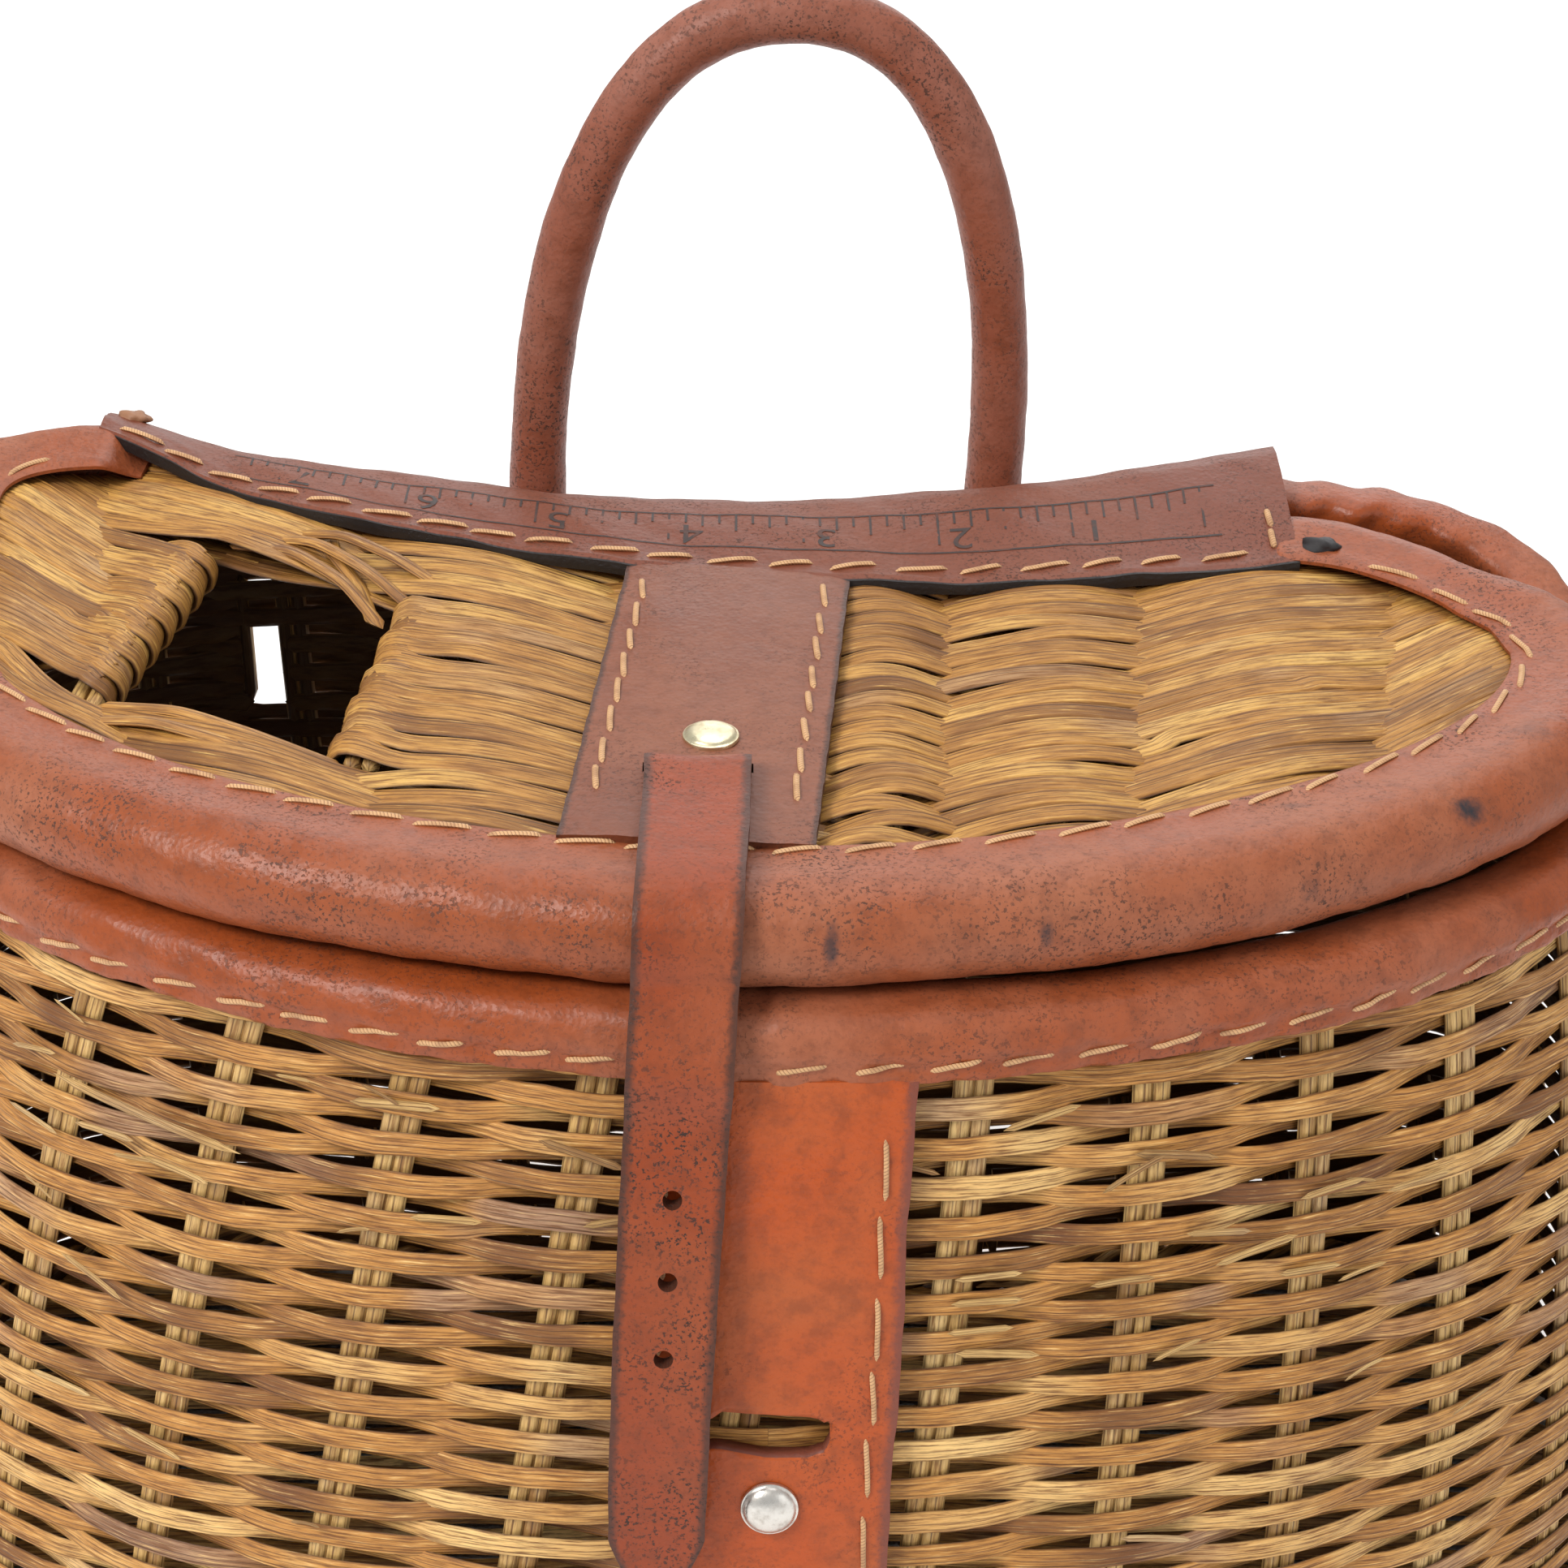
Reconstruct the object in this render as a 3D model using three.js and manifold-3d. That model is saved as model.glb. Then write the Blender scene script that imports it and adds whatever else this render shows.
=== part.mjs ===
import * as THREE from 'three';
import { mergeVertices } from 'three/addons/utils/BufferGeometryUtils.js';
import Module from 'manifold-3d';

// A split-willow fishing creel bound in leather, in millimetres. +Z is up, the front faces -Y.
// The origin is the middle of the base. Plans are drawn from the side line, the line across the
// basket where it is widest.

const wasm = await Module();
wasm.setup();

// Driving dimensions of the woven body.
const wallHeight = 194;
const wallThickness = 5;
const floorThickness = 5;
const baseRounding = 6;
const basePlan = { halfWidth: 184, front: 118, back: 140, dent: 58, skewX: 0, skewY: 0 };
const rimPlan = { halfWidth: 155.5, front: 92, back: 116, dent: 53, skewX: 0, skewY: 0.07 };
const frontRoundness = 1.85;
const backRoundness = 3.3;

// Where the wall stands between the rim plan (spread 0) and the base plan (spread 1).
const wallProfile = [
  { height: 0.0, spread: 1.0 },
  { height: 0.04, spread: 1.0 },
  { height: 0.25, spread: 0.93 },
  { height: 0.5, spread: 0.72 },
  { height: 0.73, spread: 0.45 },
  { height: 0.9, spread: 0.2 },
  { height: 1.0, spread: 0.0 },
];

// How far the wall's top rises towards the back, as a share of wallRise. Place runs round the
// rim from the front's middle, to the right up to 0.5 and to the left down to -0.5.
const wallRise = 10;
const riseTable = [
  { place: -0.5, rise: 1.2 },
  { place: -0.42, rise: 1.0 },
  { place: -0.34, rise: 0.1 },
  { place: -0.25, rise: 0.0 },
  { place: 0.0, rise: 0.0 },
  { place: 0.25, rise: 0.0 },
  { place: 0.33, rise: 1.3 },
  { place: 0.42, rise: 1.5 },
  { place: 0.5, rise: 1.2 },
];

// Heights of the body's rings, as shares of the wall's top.
const ringHeights = [0.04, 0.14, 0.27, 0.4, 0.52, 0.64, 0.76, 0.88, 0.955, 1.0];
// How far round the base's rounding the middle ring stands, as a share of baseRounding.
const roundingShare = 0.3;

// The rise of the wall's top where the handle's tabs lie, as a share of wallRise.
const tabRise = 1.35;

// Driving dimensions of the leather binding round the body's rim.
const bindingLeather = 2.5;
const bindingDrop = 8;
const bindingCrown = 3.1;
const bindingBulge = 4;
const bindingSwell = 0.6;
const bindingBulgeAt = 0.45;
// The binding's section over the wall's top, from its outer bulge to its inner edge. Bulge,
// leather and wall are shares of bindingBulge, bindingLeather and wallThickness, and crown is
// one of bindingCrown.
const crownTable = [
  { bulge: 1, leather: 0, wall: 0, crown: 0.13 },
  { bulge: 0, leather: 0.5, wall: 0, crown: 0.92 },
  { bulge: 0, leather: 0, wall: 0.6, crown: 1 },
  { bulge: 0, leather: -0.4, wall: 1, crown: 0.75 },
  { bulge: 0, leather: -1, wall: 1, crown: -0.16 },
];

// Driving dimensions of the lid and its rolled rim.
const lidPlan = { halfWidth: 158, front: 92.4, back: 83, dent: 35, skewX: -0.134, skewY: 0.185 };
const lidShift = -3.5;
const lidThickness = 6;
const rollRadius = 9;
const rollRise = 3.5;
const flangeWidth = 23;
const flangeLeather = 1.6;
const lowerFlangeWidth = 19;
const flangeStep = 7;
const flangeCurl = 4;
const rimEndAlong = 18;
const wickerInset = 10.3;
const wickerReach = 2;
const wickerReachDrop = 2.4;

// Driving dimensions of the hinge strip, with its front edge's arc drawn from the side line.
const stripLeft = -132.5;
const stripRight = 99;
const stripWidth = 35;
const stripLeather = 2.2;
const stripEdgeThickness = 3.4;
const stripFrontMiddle = 24.5;
const stripArcRadius = 235;
const stripSkew = 0.13;
const stripLift = 9;
// The width seen from above, as a share of stripWidth, and the back edge's height over the
// front edge, as a share of stripLift, along the strip.
const stripTable = [
  { along: 0.0, width: 0.42, lift: -0.25 },
  { along: 0.2, width: 0.78, lift: -0.15 },
  { along: 0.5, width: 0.95, lift: 0.0 },
  { along: 0.75, width: 1.05, lift: 0.4 },
  { along: 1.0, width: 1.18, lift: 0.75 },
];

// The strip's section. Back is a share of its width, lift one of its lift there, leather one of
// stripLeather and edge one of stripEdgeThickness.
const stripSection = [
  { back: 0, lift: 0, leather: 0, edge: 0 },
  { back: 0, lift: 0, leather: 0, edge: 1 },
  { back: 0.07, lift: 0, leather: 0, edge: 1 },
  { back: 0.13, lift: 0.05, leather: 1.14, edge: 0 },
  { back: 0.5, lift: 0.45, leather: 1.45, edge: 0 },
  { back: 0.85, lift: 0.9, leather: 1.27, edge: 0 },
  { back: 0.97, lift: 1, leather: 0.64, edge: 0 },
  { back: 1, lift: 1, leather: -1, edge: 0 },
  { back: 0.93, lift: 1, leather: -1, edge: 0 },
  { back: 0.9, lift: 0.95, leather: -0.09, edge: 0 },
  { back: 0.5, lift: 0.45, leather: 0.45, edge: 0 },
  { back: 0.13, lift: 0.05, leather: 0, edge: 0 },
];

// Driving dimensions of the square hole for fish, its corners measured from the lid's middle
// on the side line.
const fishHole = [
  { across: -100.5, along: 40.5 },
  { across: -65, along: 13 },
  { across: -71.5, along: -38 },
  { across: -112.5, along: -19 },
];

// Driving dimensions of the lid's middle band and its slot.
const bandWidth = 41;
const bandLeather = 2;
const bandBackMiddle = -2.6;
const bandFrontMiddle = -10.7;
const slotAlong = -47.6;
const slotWidth = 20;
const slotGap = 3.4;

// Driving dimensions of the front panel and its torn slot.
const panelWidth = 43.5;
const panelLeather = 2.5;
const panelTopMiddle = 0.8;
const panelLean = 5.5;
const panelFoot = 14;
const panelSlotWidth = 21;
const panelSlotHeight = 4.6;
const panelSlotHeightAt = 125;
const panelSlotMiddle = -0.5;

// Driving dimensions of the closing strap.
const strapWidth = 17.5;
const strapTipWidth = 15.5;
const strapLeather = 2.5;
const strapMiddle = -12.6;
const strapTipHeight = 91;
const strapPoint = 14;
const strapTipShare = 0.16;
const strapTipCurve = 0.75;
const strapRun = 12;
const strapSlack = 3.5;
const strapHoleRadius = 1.6;
const strapHoleHeights = [169, 154, 139];

// How the strap rises out of the slot and lies on the band. Run is a share of strapRun, and up
// one of strapLeather over the place where it lies flat.
const strapRise = [
  { run: 0.03, up: -0.32 },
  { run: 0.25, up: 0.12 },
  { run: 1, up: 0.08 },
];

// Driving dimensions of the cap rivets.
const rivetRadius = 4.75;
const rivetDome = 1.6;
const rivetSkirt = 0.7;
const lidRivetMiddle = -10.6;
const lidRivetAlong = -37.8;
const studHeight = 113;
const studMiddle = 0.4;

// Driving dimensions of the rolled handle.
const handleRadius = 5.5;
const handleHalfSpan = 46;
const handleRise = 90;
const handleRoundness = 2.3;
const handleLean = 4;
const handleMiddle = -0.8;
const handleGap = 6;
const tabWidth = 20;
const tabLeather = 3;
const tabLength = 48;
const tabTopDrop = 38;
const tabRivetDrop = 66;
const tabCorner = 7;
const tabNeck = 14;
// How the handle's tab turns into the round leg. Foot and neck are shares of tabCorner over the
// tab's foot and of tabNeck over its top, swing is how far the leg has come to the handle's
// plane, flat how flat it is, and trim its width.
const tabTable = [
  { from: 'foot', foot: 0, neck: 0, swing: 0, flat: 1, trim: 0.55 },
  { from: 'foot', foot: 0.35, neck: 0, swing: 0, flat: 1, trim: 0.85 },
  { from: 'foot', foot: 1, neck: 0, swing: 0, flat: 1, trim: 1 },
  { from: 'middle', foot: 0, neck: 0, swing: 0, flat: 1, trim: 1 },
  { from: 'top', foot: 0, neck: -0.21, swing: 0, flat: 1, trim: 1 },
  { from: 'top', foot: 0, neck: 0.43, swing: 0.45, flat: 0.55, trim: 1 },
  { from: 'top', foot: 0, neck: 1, swing: 0.9, flat: 0.15, trim: 1 },
];
// How square the flat tab's section is: 1 is round and 0 is square.
const tabSquareness = 0.35;

// Driving dimensions of the two strap slots in the back wall.
const backSlotWidth = 6;
const backSlotHeight = 20;
const backSlotAt = 170;
const backSlotAcross = 103.5;

// The smallest gap left between two pieces that touch.
const seatGap = 0.3;

// Numbers of stations and sides.
const bodyStations = 72;
const lidStations = 60;
const handleSides = 12;
const rivetSides = 20;
const denseSteps = 1440;

// The lid's top face, over the body's binding by the depth of the roll.
const lidTop = wallHeight + bindingCrown + seatGap + 2 * rollRadius - rollRise;

// Reads a column of a table at a place between its rows, along a smooth curve.
function readTable(table, key, column, place) {
  const last = table.length - 1;
  const clamped = THREE.MathUtils.clamp(place, table[0][key], table[last][key]);
  let row = 0;
  while (row < last - 1 && table[row + 1][key] < clamped) {
    row += 1;
  }
  const from = table[row];
  const to = table[row + 1];
  const before = table[Math.max(row - 1, 0)];
  const after = table[Math.min(row + 2, last)];
  const width = to[key] - from[key];
  const t = (clamped - from[key]) / width;
  const slopeFrom = (to[column] - before[column]) / Math.max(to[key] - before[key], width);
  const slopeTo = (after[column] - from[column]) / Math.max(after[key] - from[key], width);
  const t2 = t * t;
  const t3 = t2 * t;
  return (
    (2 * t3 - 3 * t2 + 1) * from[column]
    + (t3 - 2 * t2 + t) * width * slopeFrom
    + (3 * t2 - 2 * t3) * to[column]
    + (t3 - t2) * width * slopeTo
  );
}

// A plan between the rim's and the base's, at a height given as a share of the wall.
function planAtHeight(height) {
  const spread = readTable(wallProfile, 'height', 'spread', height);
  const plan = {};
  for (const key of Object.keys(rimPlan)) {
    plan[key] = THREE.MathUtils.lerp(rimPlan[key], basePlan[key], spread);
  }
  return plan;
}

// The share of a rounded outline's depth that is left at a share of its half width.
function roundedShare(across, roundness) {
  const inside = Math.max(0, 1 - Math.abs(across) ** roundness);
  return inside ** (1 / roundness);
}

// The front wall's distance ahead of the side line, at x.
function frontDepth(plan, x) {
  return -plan.front * roundedShare(x / plan.halfWidth, frontRoundness);
}

// The back wall's distance behind the side line, at x, with its dent and its skew.
function backDepth(plan, x) {
  const share = roundedShare(x / plan.halfWidth, backRoundness);
  const hollow = Math.max(0, 1 - (x / plan.halfWidth) ** 2);
  return plan.back * share - plan.dent * hollow - plan.skewY * x * share;
}

// A closed kidney-shaped loop as evenly spaced stations, from the front's middle to the right.
function planLoop(plan, count) {
  const dense = [];
  for (let step = 0; step <= denseSteps; step += 1) {
    const angle = (2 * Math.PI * step) / denseSteps;
    const side = Math.sign(Math.sin(angle));
    const front = Math.cos(angle) >= 0;
    const roundness = front ? frontRoundness : backRoundness;
    const x = plan.halfWidth * side * Math.abs(Math.sin(angle)) ** (2 / roundness);
    const y = front ? frontDepth(plan, x) : backDepth(plan, x);
    dense.push(new THREE.Vector2(x + (front ? 0 : plan.skewX * y), y));
  }
  const lengths = [0];
  for (let step = 1; step <= denseSteps; step += 1) {
    lengths.push(lengths[step - 1] + dense[step].distanceTo(dense[step - 1]));
  }
  const stations = [];
  let step = 0;
  for (let index = 0; index < count; index += 1) {
    const target = (lengths[denseSteps] * index) / count;
    while (lengths[step + 1] < target) {
      step += 1;
    }
    const t = (target - lengths[step]) / (lengths[step + 1] - lengths[step]);
    stations.push({ point: dense[step].clone().lerp(dense[step + 1], t), place: index / count });
  }
  for (let index = 0; index < count; index += 1) {
    const before = stations[(index + count - 1) % count].point;
    const after = stations[(index + 1) % count].point;
    const tangent = after.clone().sub(before).normalize();
    stations[index].outward = new THREE.Vector2(tangent.y, -tangent.x);
    stations[index].place -= stations[index].place > 0.5 ? 1 : 0;
  }
  return stations;
}

// The base stands with its middle on the origin, which sets the side line's place.
const baseLoop = planLoop(basePlan, denseSteps / 2);
const baseDepths = baseLoop.map((station) => station.point.y);
const sideLine = -(Math.min(...baseDepths) + Math.max(...baseDepths)) / 2;

// A station's point moved outward and set at a height.
function placed(station, outward, height, shift = 0) {
  return new THREE.Vector3(
    station.point.x + station.outward.x * outward + shift,
    station.point.y + station.outward.y * outward + sideLine,
    height,
  );
}

// The height of the woven wall's top at a station.
function wallTop(station) {
  return wallHeight + wallRise * readTable(riseTable, 'place', 'rise', station.place);
}

// A geometry from points and triangles, turned so that its faces point outward.
function solidGeometry(points, triangles) {
  let volume = 0;
  for (const [a, b, c] of triangles) {
    volume += points[a].dot(points[b].clone().cross(points[c]));
  }
  const faces = volume < 0 ? triangles.map(([a, b, c]) => [a, c, b]) : triangles;
  const geometry = new THREE.BufferGeometry();
  geometry.setFromPoints(points);
  geometry.setIndex(faces.flat());
  return geometry;
}

// A solid lofted through rings of points. Its ends are closed by the outline's own triangles,
// or the last ring joins the first.
function loftRings(rings, closed, outline = null) {
  const sides = rings[0].length;
  const points = rings.flat();
  const triangles = [];
  const spans = closed ? rings.length : rings.length - 1;
  for (let ring = 0; ring < spans; ring += 1) {
    const next = (ring + 1) % rings.length;
    for (let side = 0; side < sides; side += 1) {
      const turn = (side + 1) % sides;
      const a = ring * sides + side;
      const b = ring * sides + turn;
      const c = next * sides + turn;
      const d = next * sides + side;
      triangles.push([a, b, c], [a, c, d]);
    }
  }
  if (!closed) {
    const caps = outline ?? rings[0].map((_, side) => {
      const angle = (2 * Math.PI * side) / sides;
      return new THREE.Vector2(Math.cos(angle), Math.sin(angle));
    });
    const end = (rings.length - 1) * sides;
    for (const [a, b, c] of THREE.ShapeUtils.triangulateShape(caps, [])) {
      const forward = !THREE.ShapeUtils.isClockWise(caps);
      triangles.push(forward ? [a, c, b] : [a, b, c]);
      triangles.push(forward ? [end + a, end + b, end + c] : [end + a, end + c, end + b]);
    }
  }
  return solidGeometry(points, triangles);
}

// A closed mesh as a solid that can be joined and cut.
function toSolid(geometry) {
  const bare = geometry.clone();
  bare.deleteAttribute('normal');
  bare.deleteAttribute('uv');
  const merged = mergeVertices(bare, 1e-4);
  return new wasm.Manifold(new wasm.Mesh({
    numProp: 3,
    vertProperties: new Float32Array(merged.attributes.position.array),
    triVerts: new Uint32Array(merged.index.array),
  }));
}

// A solid's mesh as a geometry.
function toGeometry(solid) {
  const mesh = solid.getMesh();
  const geometry = new THREE.BufferGeometry();
  geometry.setAttribute('position', new THREE.BufferAttribute(mesh.vertProperties, 3));
  geometry.setIndex(new THREE.BufferAttribute(mesh.triVerts, 1));
  return geometry;
}

// A geometry with others cut out of it.
function cutOut(geometry, cutters) {
  let solid = toSolid(geometry);
  for (const cutter of cutters) {
    solid = solid.subtract(toSolid(cutter));
  }
  return toGeometry(solid);
}

// The woven body: outer wall, rim, inner wall and floor as one loft of rings, with the two
// strap slots cut through the back.
function basketBody() {
  const rings = [];
  const ringAt = (height, inset, lift) => planLoop(planAtHeight(height), bodyStations).map(
    (station) => placed(station, -inset, lift ?? height * wallTop(station)),
  );
  rings.push(ringAt(0, baseRounding, 0));
  rings.push(ringAt(0, baseRounding * roundingShare, baseRounding * roundingShare));
  ringHeights.forEach((height) => rings.push(ringAt(height, 0)));
  [...ringHeights].reverse().forEach((height, index, all) => {
    if (index < all.length - 1) {
      rings.push(ringAt(height, wallThickness));
    }
  });
  rings.push(ringAt(
    0,
    wallThickness + baseRounding * roundingShare,
    floorThickness + baseRounding * (1 - roundingShare),
  ));
  rings.push(ringAt(0, wallThickness + baseRounding, floorThickness));
  const count = bodyStations;
  const points = rings.flat();
  const triangles = [];
  for (let ring = 0; ring < rings.length - 1; ring += 1) {
    for (let side = 0; side < count; side += 1) {
      const turn = (side + 1) % count;
      const a = ring * count + side;
      const b = ring * count + turn;
      triangles.push([a, b, b + count], [a, b + count, a + count]);
    }
  }
  const end = (rings.length - 1) * count;
  const foot = rings[0].map((point) => new THREE.Vector2(point.x, point.y));
  for (const [a, b, c] of THREE.ShapeUtils.triangulateShape(foot, [])) {
    triangles.push([a, c, b]);
  }
  const floor = rings[rings.length - 1].map((point) => new THREE.Vector2(point.x, point.y));
  for (const [a, b, c] of THREE.ShapeUtils.triangulateShape(floor, [])) {
    triangles.push([end + a, end + b, end + c]);
  }
  const plan = planAtHeight(backSlotAt / (wallHeight + wallRise * tabRise));
  const cutters = [-1, 1].map((side) => {
    const cutter = new THREE.BoxGeometry(backSlotWidth, 8 * wallThickness, backSlotHeight);
    const x = side * backSlotAcross;
    cutter.translate(x, backDepth(plan, x) + sideLine, backSlotAt);
    return cutter;
  });
  return cutOut(solidGeometry(points, triangles), cutters);
}

// The leather binding, a channel that sits over the wall's top all the way round.
function bodyRim() {
  const inner = -wallThickness - seatGap;
  const section = [
    { out: seatGap, up: -bindingDrop },
    { out: seatGap + bindingLeather, up: -bindingDrop },
    { out: bindingBulge + bindingSwell, up: -bindingDrop * bindingBulgeAt },
    ...crownTable.map((row) => ({
      out: row.bulge * bindingBulge + row.leather * bindingLeather - row.wall * wallThickness,
      up: row.crown * bindingCrown,
    })),
    { out: inner - bindingLeather, up: -bindingDrop },
    { out: inner, up: -bindingDrop },
    { out: inner, up: seatGap },
    { out: seatGap, up: seatGap },
  ];
  const loops = section.map(({ up }) => (
    planLoop(planAtHeight(1 + Math.min(up, 0) / wallHeight), bodyStations)
  ));
  const rings = [];
  for (let index = 0; index < bodyStations; index += 1) {
    rings.push(section.map(({ out, up }, corner) => {
      const station = loops[corner][index];
      return placed(station, out, wallTop(station) + up);
    }));
  }
  return loftRings(rings, true);
}

// The lid's thick rolled rim, from the hinge strip's right end round the front to its left end.
function lidRim() {
  const middle = rollRise - rollRadius;
  const roll = (angle) => ({
    out: -rollRadius + rollRadius * Math.cos(angle),
    up: middle + rollRadius * Math.sin(angle),
  });
  const section = [
    { out: -flangeWidth, up: seatGap },
    { out: -flangeWidth, up: seatGap + flangeLeather },
    { out: -flangeWidth + flangeStep, up: 2 * seatGap + flangeLeather },
    { out: -rollRadius - flangeCurl, up: rollRise - 2 * seatGap },
    roll(Math.PI / 2),
    roll(Math.PI / 3),
    roll(Math.PI / 6),
    roll(0),
    roll(-Math.PI / 6),
    roll(-Math.PI / 3),
    roll(-Math.PI / 2),
    roll((-2 * Math.PI) / 3),
    { out: -lowerFlangeWidth, up: -lidThickness - seatGap - flangeLeather },
    { out: -lowerFlangeWidth, up: -lidThickness - seatGap },
    { out: -wickerInset, up: -lidThickness - seatGap },
    { out: -wickerInset, up: seatGap },
  ];
  const rings = planLoop(lidPlan, lidStations).map((station) => (
    section.map(({ out, up }) => placed(station, out, lidTop + up, lidShift))
  ));
  const width = stripRight - stripLeft + 2 * seatGap;
  const behind = new THREE.BoxGeometry(width, lidPlan.back, 8 * rollRadius);
  behind.translate(
    (stripLeft + stripRight) / 2,
    sideLine + lidPlan.back / 2 + rimEndAlong,
    lidTop,
  );
  return cutOut(loftRings(rings, true), [behind]);
}

// A slab with the lid's outline, moved outward.
function lidSlab(outward) {
  const outline = planLoop(lidPlan, lidStations * 2).map((station) => {
    const point = placed(station, outward, 0, lidShift);
    return new THREE.Vector2(point.x, point.y);
  });
  const slab = new THREE.ExtrudeGeometry(new THREE.Shape(outline), {
    depth: lidThickness,
    bevelEnabled: false,
  });
  return slab.translate(0, 0, lidTop - lidThickness);
}

// The woven lid, a slab inside the rim that reaches out under the hinge strip, with the square
// hole for fish.
function lidWicker() {
  const corners = fishHole.map(({ across, along }) => (
    new THREE.Vector2(across + lidShift, along + sideLine)
  ));
  const width = stripRight - stripLeft - 2 * seatGap;
  const under = new THREE.BoxGeometry(width, lidPlan.back, 4 * lidThickness);
  under.translate(
    (stripLeft + stripRight) / 2,
    sideLine + lidPlan.back / 2 + rimEndAlong + 2 * seatGap,
    lidTop - wickerReachDrop - 2 * lidThickness,
  );
  const reach = toSolid(lidSlab(wickerReach)).intersect(toSolid(under));
  const slab = toSolid(lidSlab(-wickerInset - 3 * seatGap)).add(reach);
  const hole = new THREE.ExtrudeGeometry(new THREE.Shape(corners), {
    depth: 3 * lidThickness,
    bevelEnabled: false,
  });
  hole.translate(0, 0, lidTop - 2 * lidThickness);
  return toGeometry(slab.subtract(toSolid(hole)));
}

// The hinge strip's front edge, at x.
function stripFront(x) {
  const bend = (x * x) / (2 * stripArcRadius);
  return stripFrontMiddle + bend - stripSkew * x + sideLine;
}

// The hinge strip's width seen from above, at x.
function stripWidthAt(x) {
  const along = (x - stripLeft) / (stripRight - stripLeft);
  return stripWidth * readTable(stripTable, 'along', 'width', along);
}

// The hinge strip: a band of leather over the lid's back edge and the body's back rim, with a
// thick front edge, twisted a little from end to end.
function hingeStrip() {
  const bottom = lidTop + seatGap;
  const section = stripSection.map(({ back, lift, leather, edge }) => (
    { back, lift, up: leather * stripLeather + edge * stripEdgeThickness }
  ));
  const steps = 26;
  const rings = [];
  for (let step = 0; step <= steps; step += 1) {
    const along = step / steps;
    const x = THREE.MathUtils.lerp(stripLeft, stripRight, along);
    const lift = stripLift * readTable(stripTable, 'along', 'lift', along);
    const width = stripWidthAt(x);
    rings.push(section.map((corner) => new THREE.Vector3(
      x,
      stripFront(x - lidShift) + width * corner.back,
      bottom + corner.up + lift * corner.lift,
    )));
  }
  const outline = section.map(({ back, up }) => new THREE.Vector2(back * stripWidth, up));
  return loftRings(rings, false, outline);
}

// The inner edge of the lid rim's upper flange at the front, at x from the lid's middle.
function flangeEdge(x) {
  const slope = (frontDepth(lidPlan, x + 1) - frontDepth(lidPlan, x - 1)) / 2;
  return frontDepth(lidPlan, x) + flangeWidth * Math.hypot(1, slope) + sideLine;
}

// The leather band across the lid's middle, with the strap's slot.
function lidBand() {
  const half = bandWidth / 2;
  const frontPoint = (across) => {
    const x = bandFrontMiddle + across * half;
    return new THREE.Vector2(x + lidShift, flangeEdge(x) + 2 * seatGap);
  };
  const backPoint = (across) => {
    const x = bandBackMiddle + across * half;
    return new THREE.Vector2(x + lidShift, stripFront(x) - 2 * seatGap);
  };
  const outline = new THREE.Shape([
    ...[-1, 0, 1].map(frontPoint),
    ...[1, 0.5, 0, -0.5, -1].map(backPoint),
  ]);
  const left = strapMiddle - slotWidth / 2;
  const front = slotAlong + sideLine - slotGap / 2;
  outline.holes.push(new THREE.Path([
    new THREE.Vector2(left, front),
    new THREE.Vector2(left, front + slotGap),
    new THREE.Vector2(left + slotWidth, front + slotGap),
    new THREE.Vector2(left + slotWidth, front),
  ]));
  const geometry = new THREE.ExtrudeGeometry(outline, { depth: bandLeather, bevelEnabled: false });
  return geometry.translate(0, 0, lidTop + seatGap);
}

// The front wall's face at a height, as a distance ahead of the origin.
function frontFace(x, height) {
  return frontDepth(planAtHeight(height / wallHeight), x) + sideLine;
}

// The front panel's middle at a height. It leans with the basket's stakes.
function panelMiddle(height) {
  return panelTopMiddle - panelLean * (1 - height / wallHeight);
}

// The front panel's outer face at a height.
function panelFace(x, height) {
  return frontFace(x, height) - seatGap - panelLeather;
}

// The leather panel down the middle of the front, with its torn slot.
function frontPanel() {
  const top = wallHeight - bindingDrop - seatGap;
  const steps = 14;
  const across = 6;
  const rings = [];
  for (let step = 0; step <= steps; step += 1) {
    const height = THREE.MathUtils.lerp(top, panelFoot, step / steps);
    const outer = [];
    const inner = [];
    for (let column = 0; column <= across; column += 1) {
      const x = panelMiddle(height) + panelWidth * (column / across - 0.5);
      outer.push(new THREE.Vector3(x, panelFace(x, height), height));
      inner.unshift(new THREE.Vector3(x, frontFace(x, height) - seatGap, height));
    }
    rings.push([...outer, ...inner]);
  }
  const outline = rings[0].map((point) => new THREE.Vector2(point.x, point.y));
  const slot = new THREE.BoxGeometry(panelSlotWidth, 12 * panelLeather, panelSlotHeight);
  slot.translate(panelSlotMiddle, panelFace(0, panelSlotHeightAt), panelSlotHeightAt);
  return cutOut(loftRings(rings, false, outline), [slot]);
}

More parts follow.
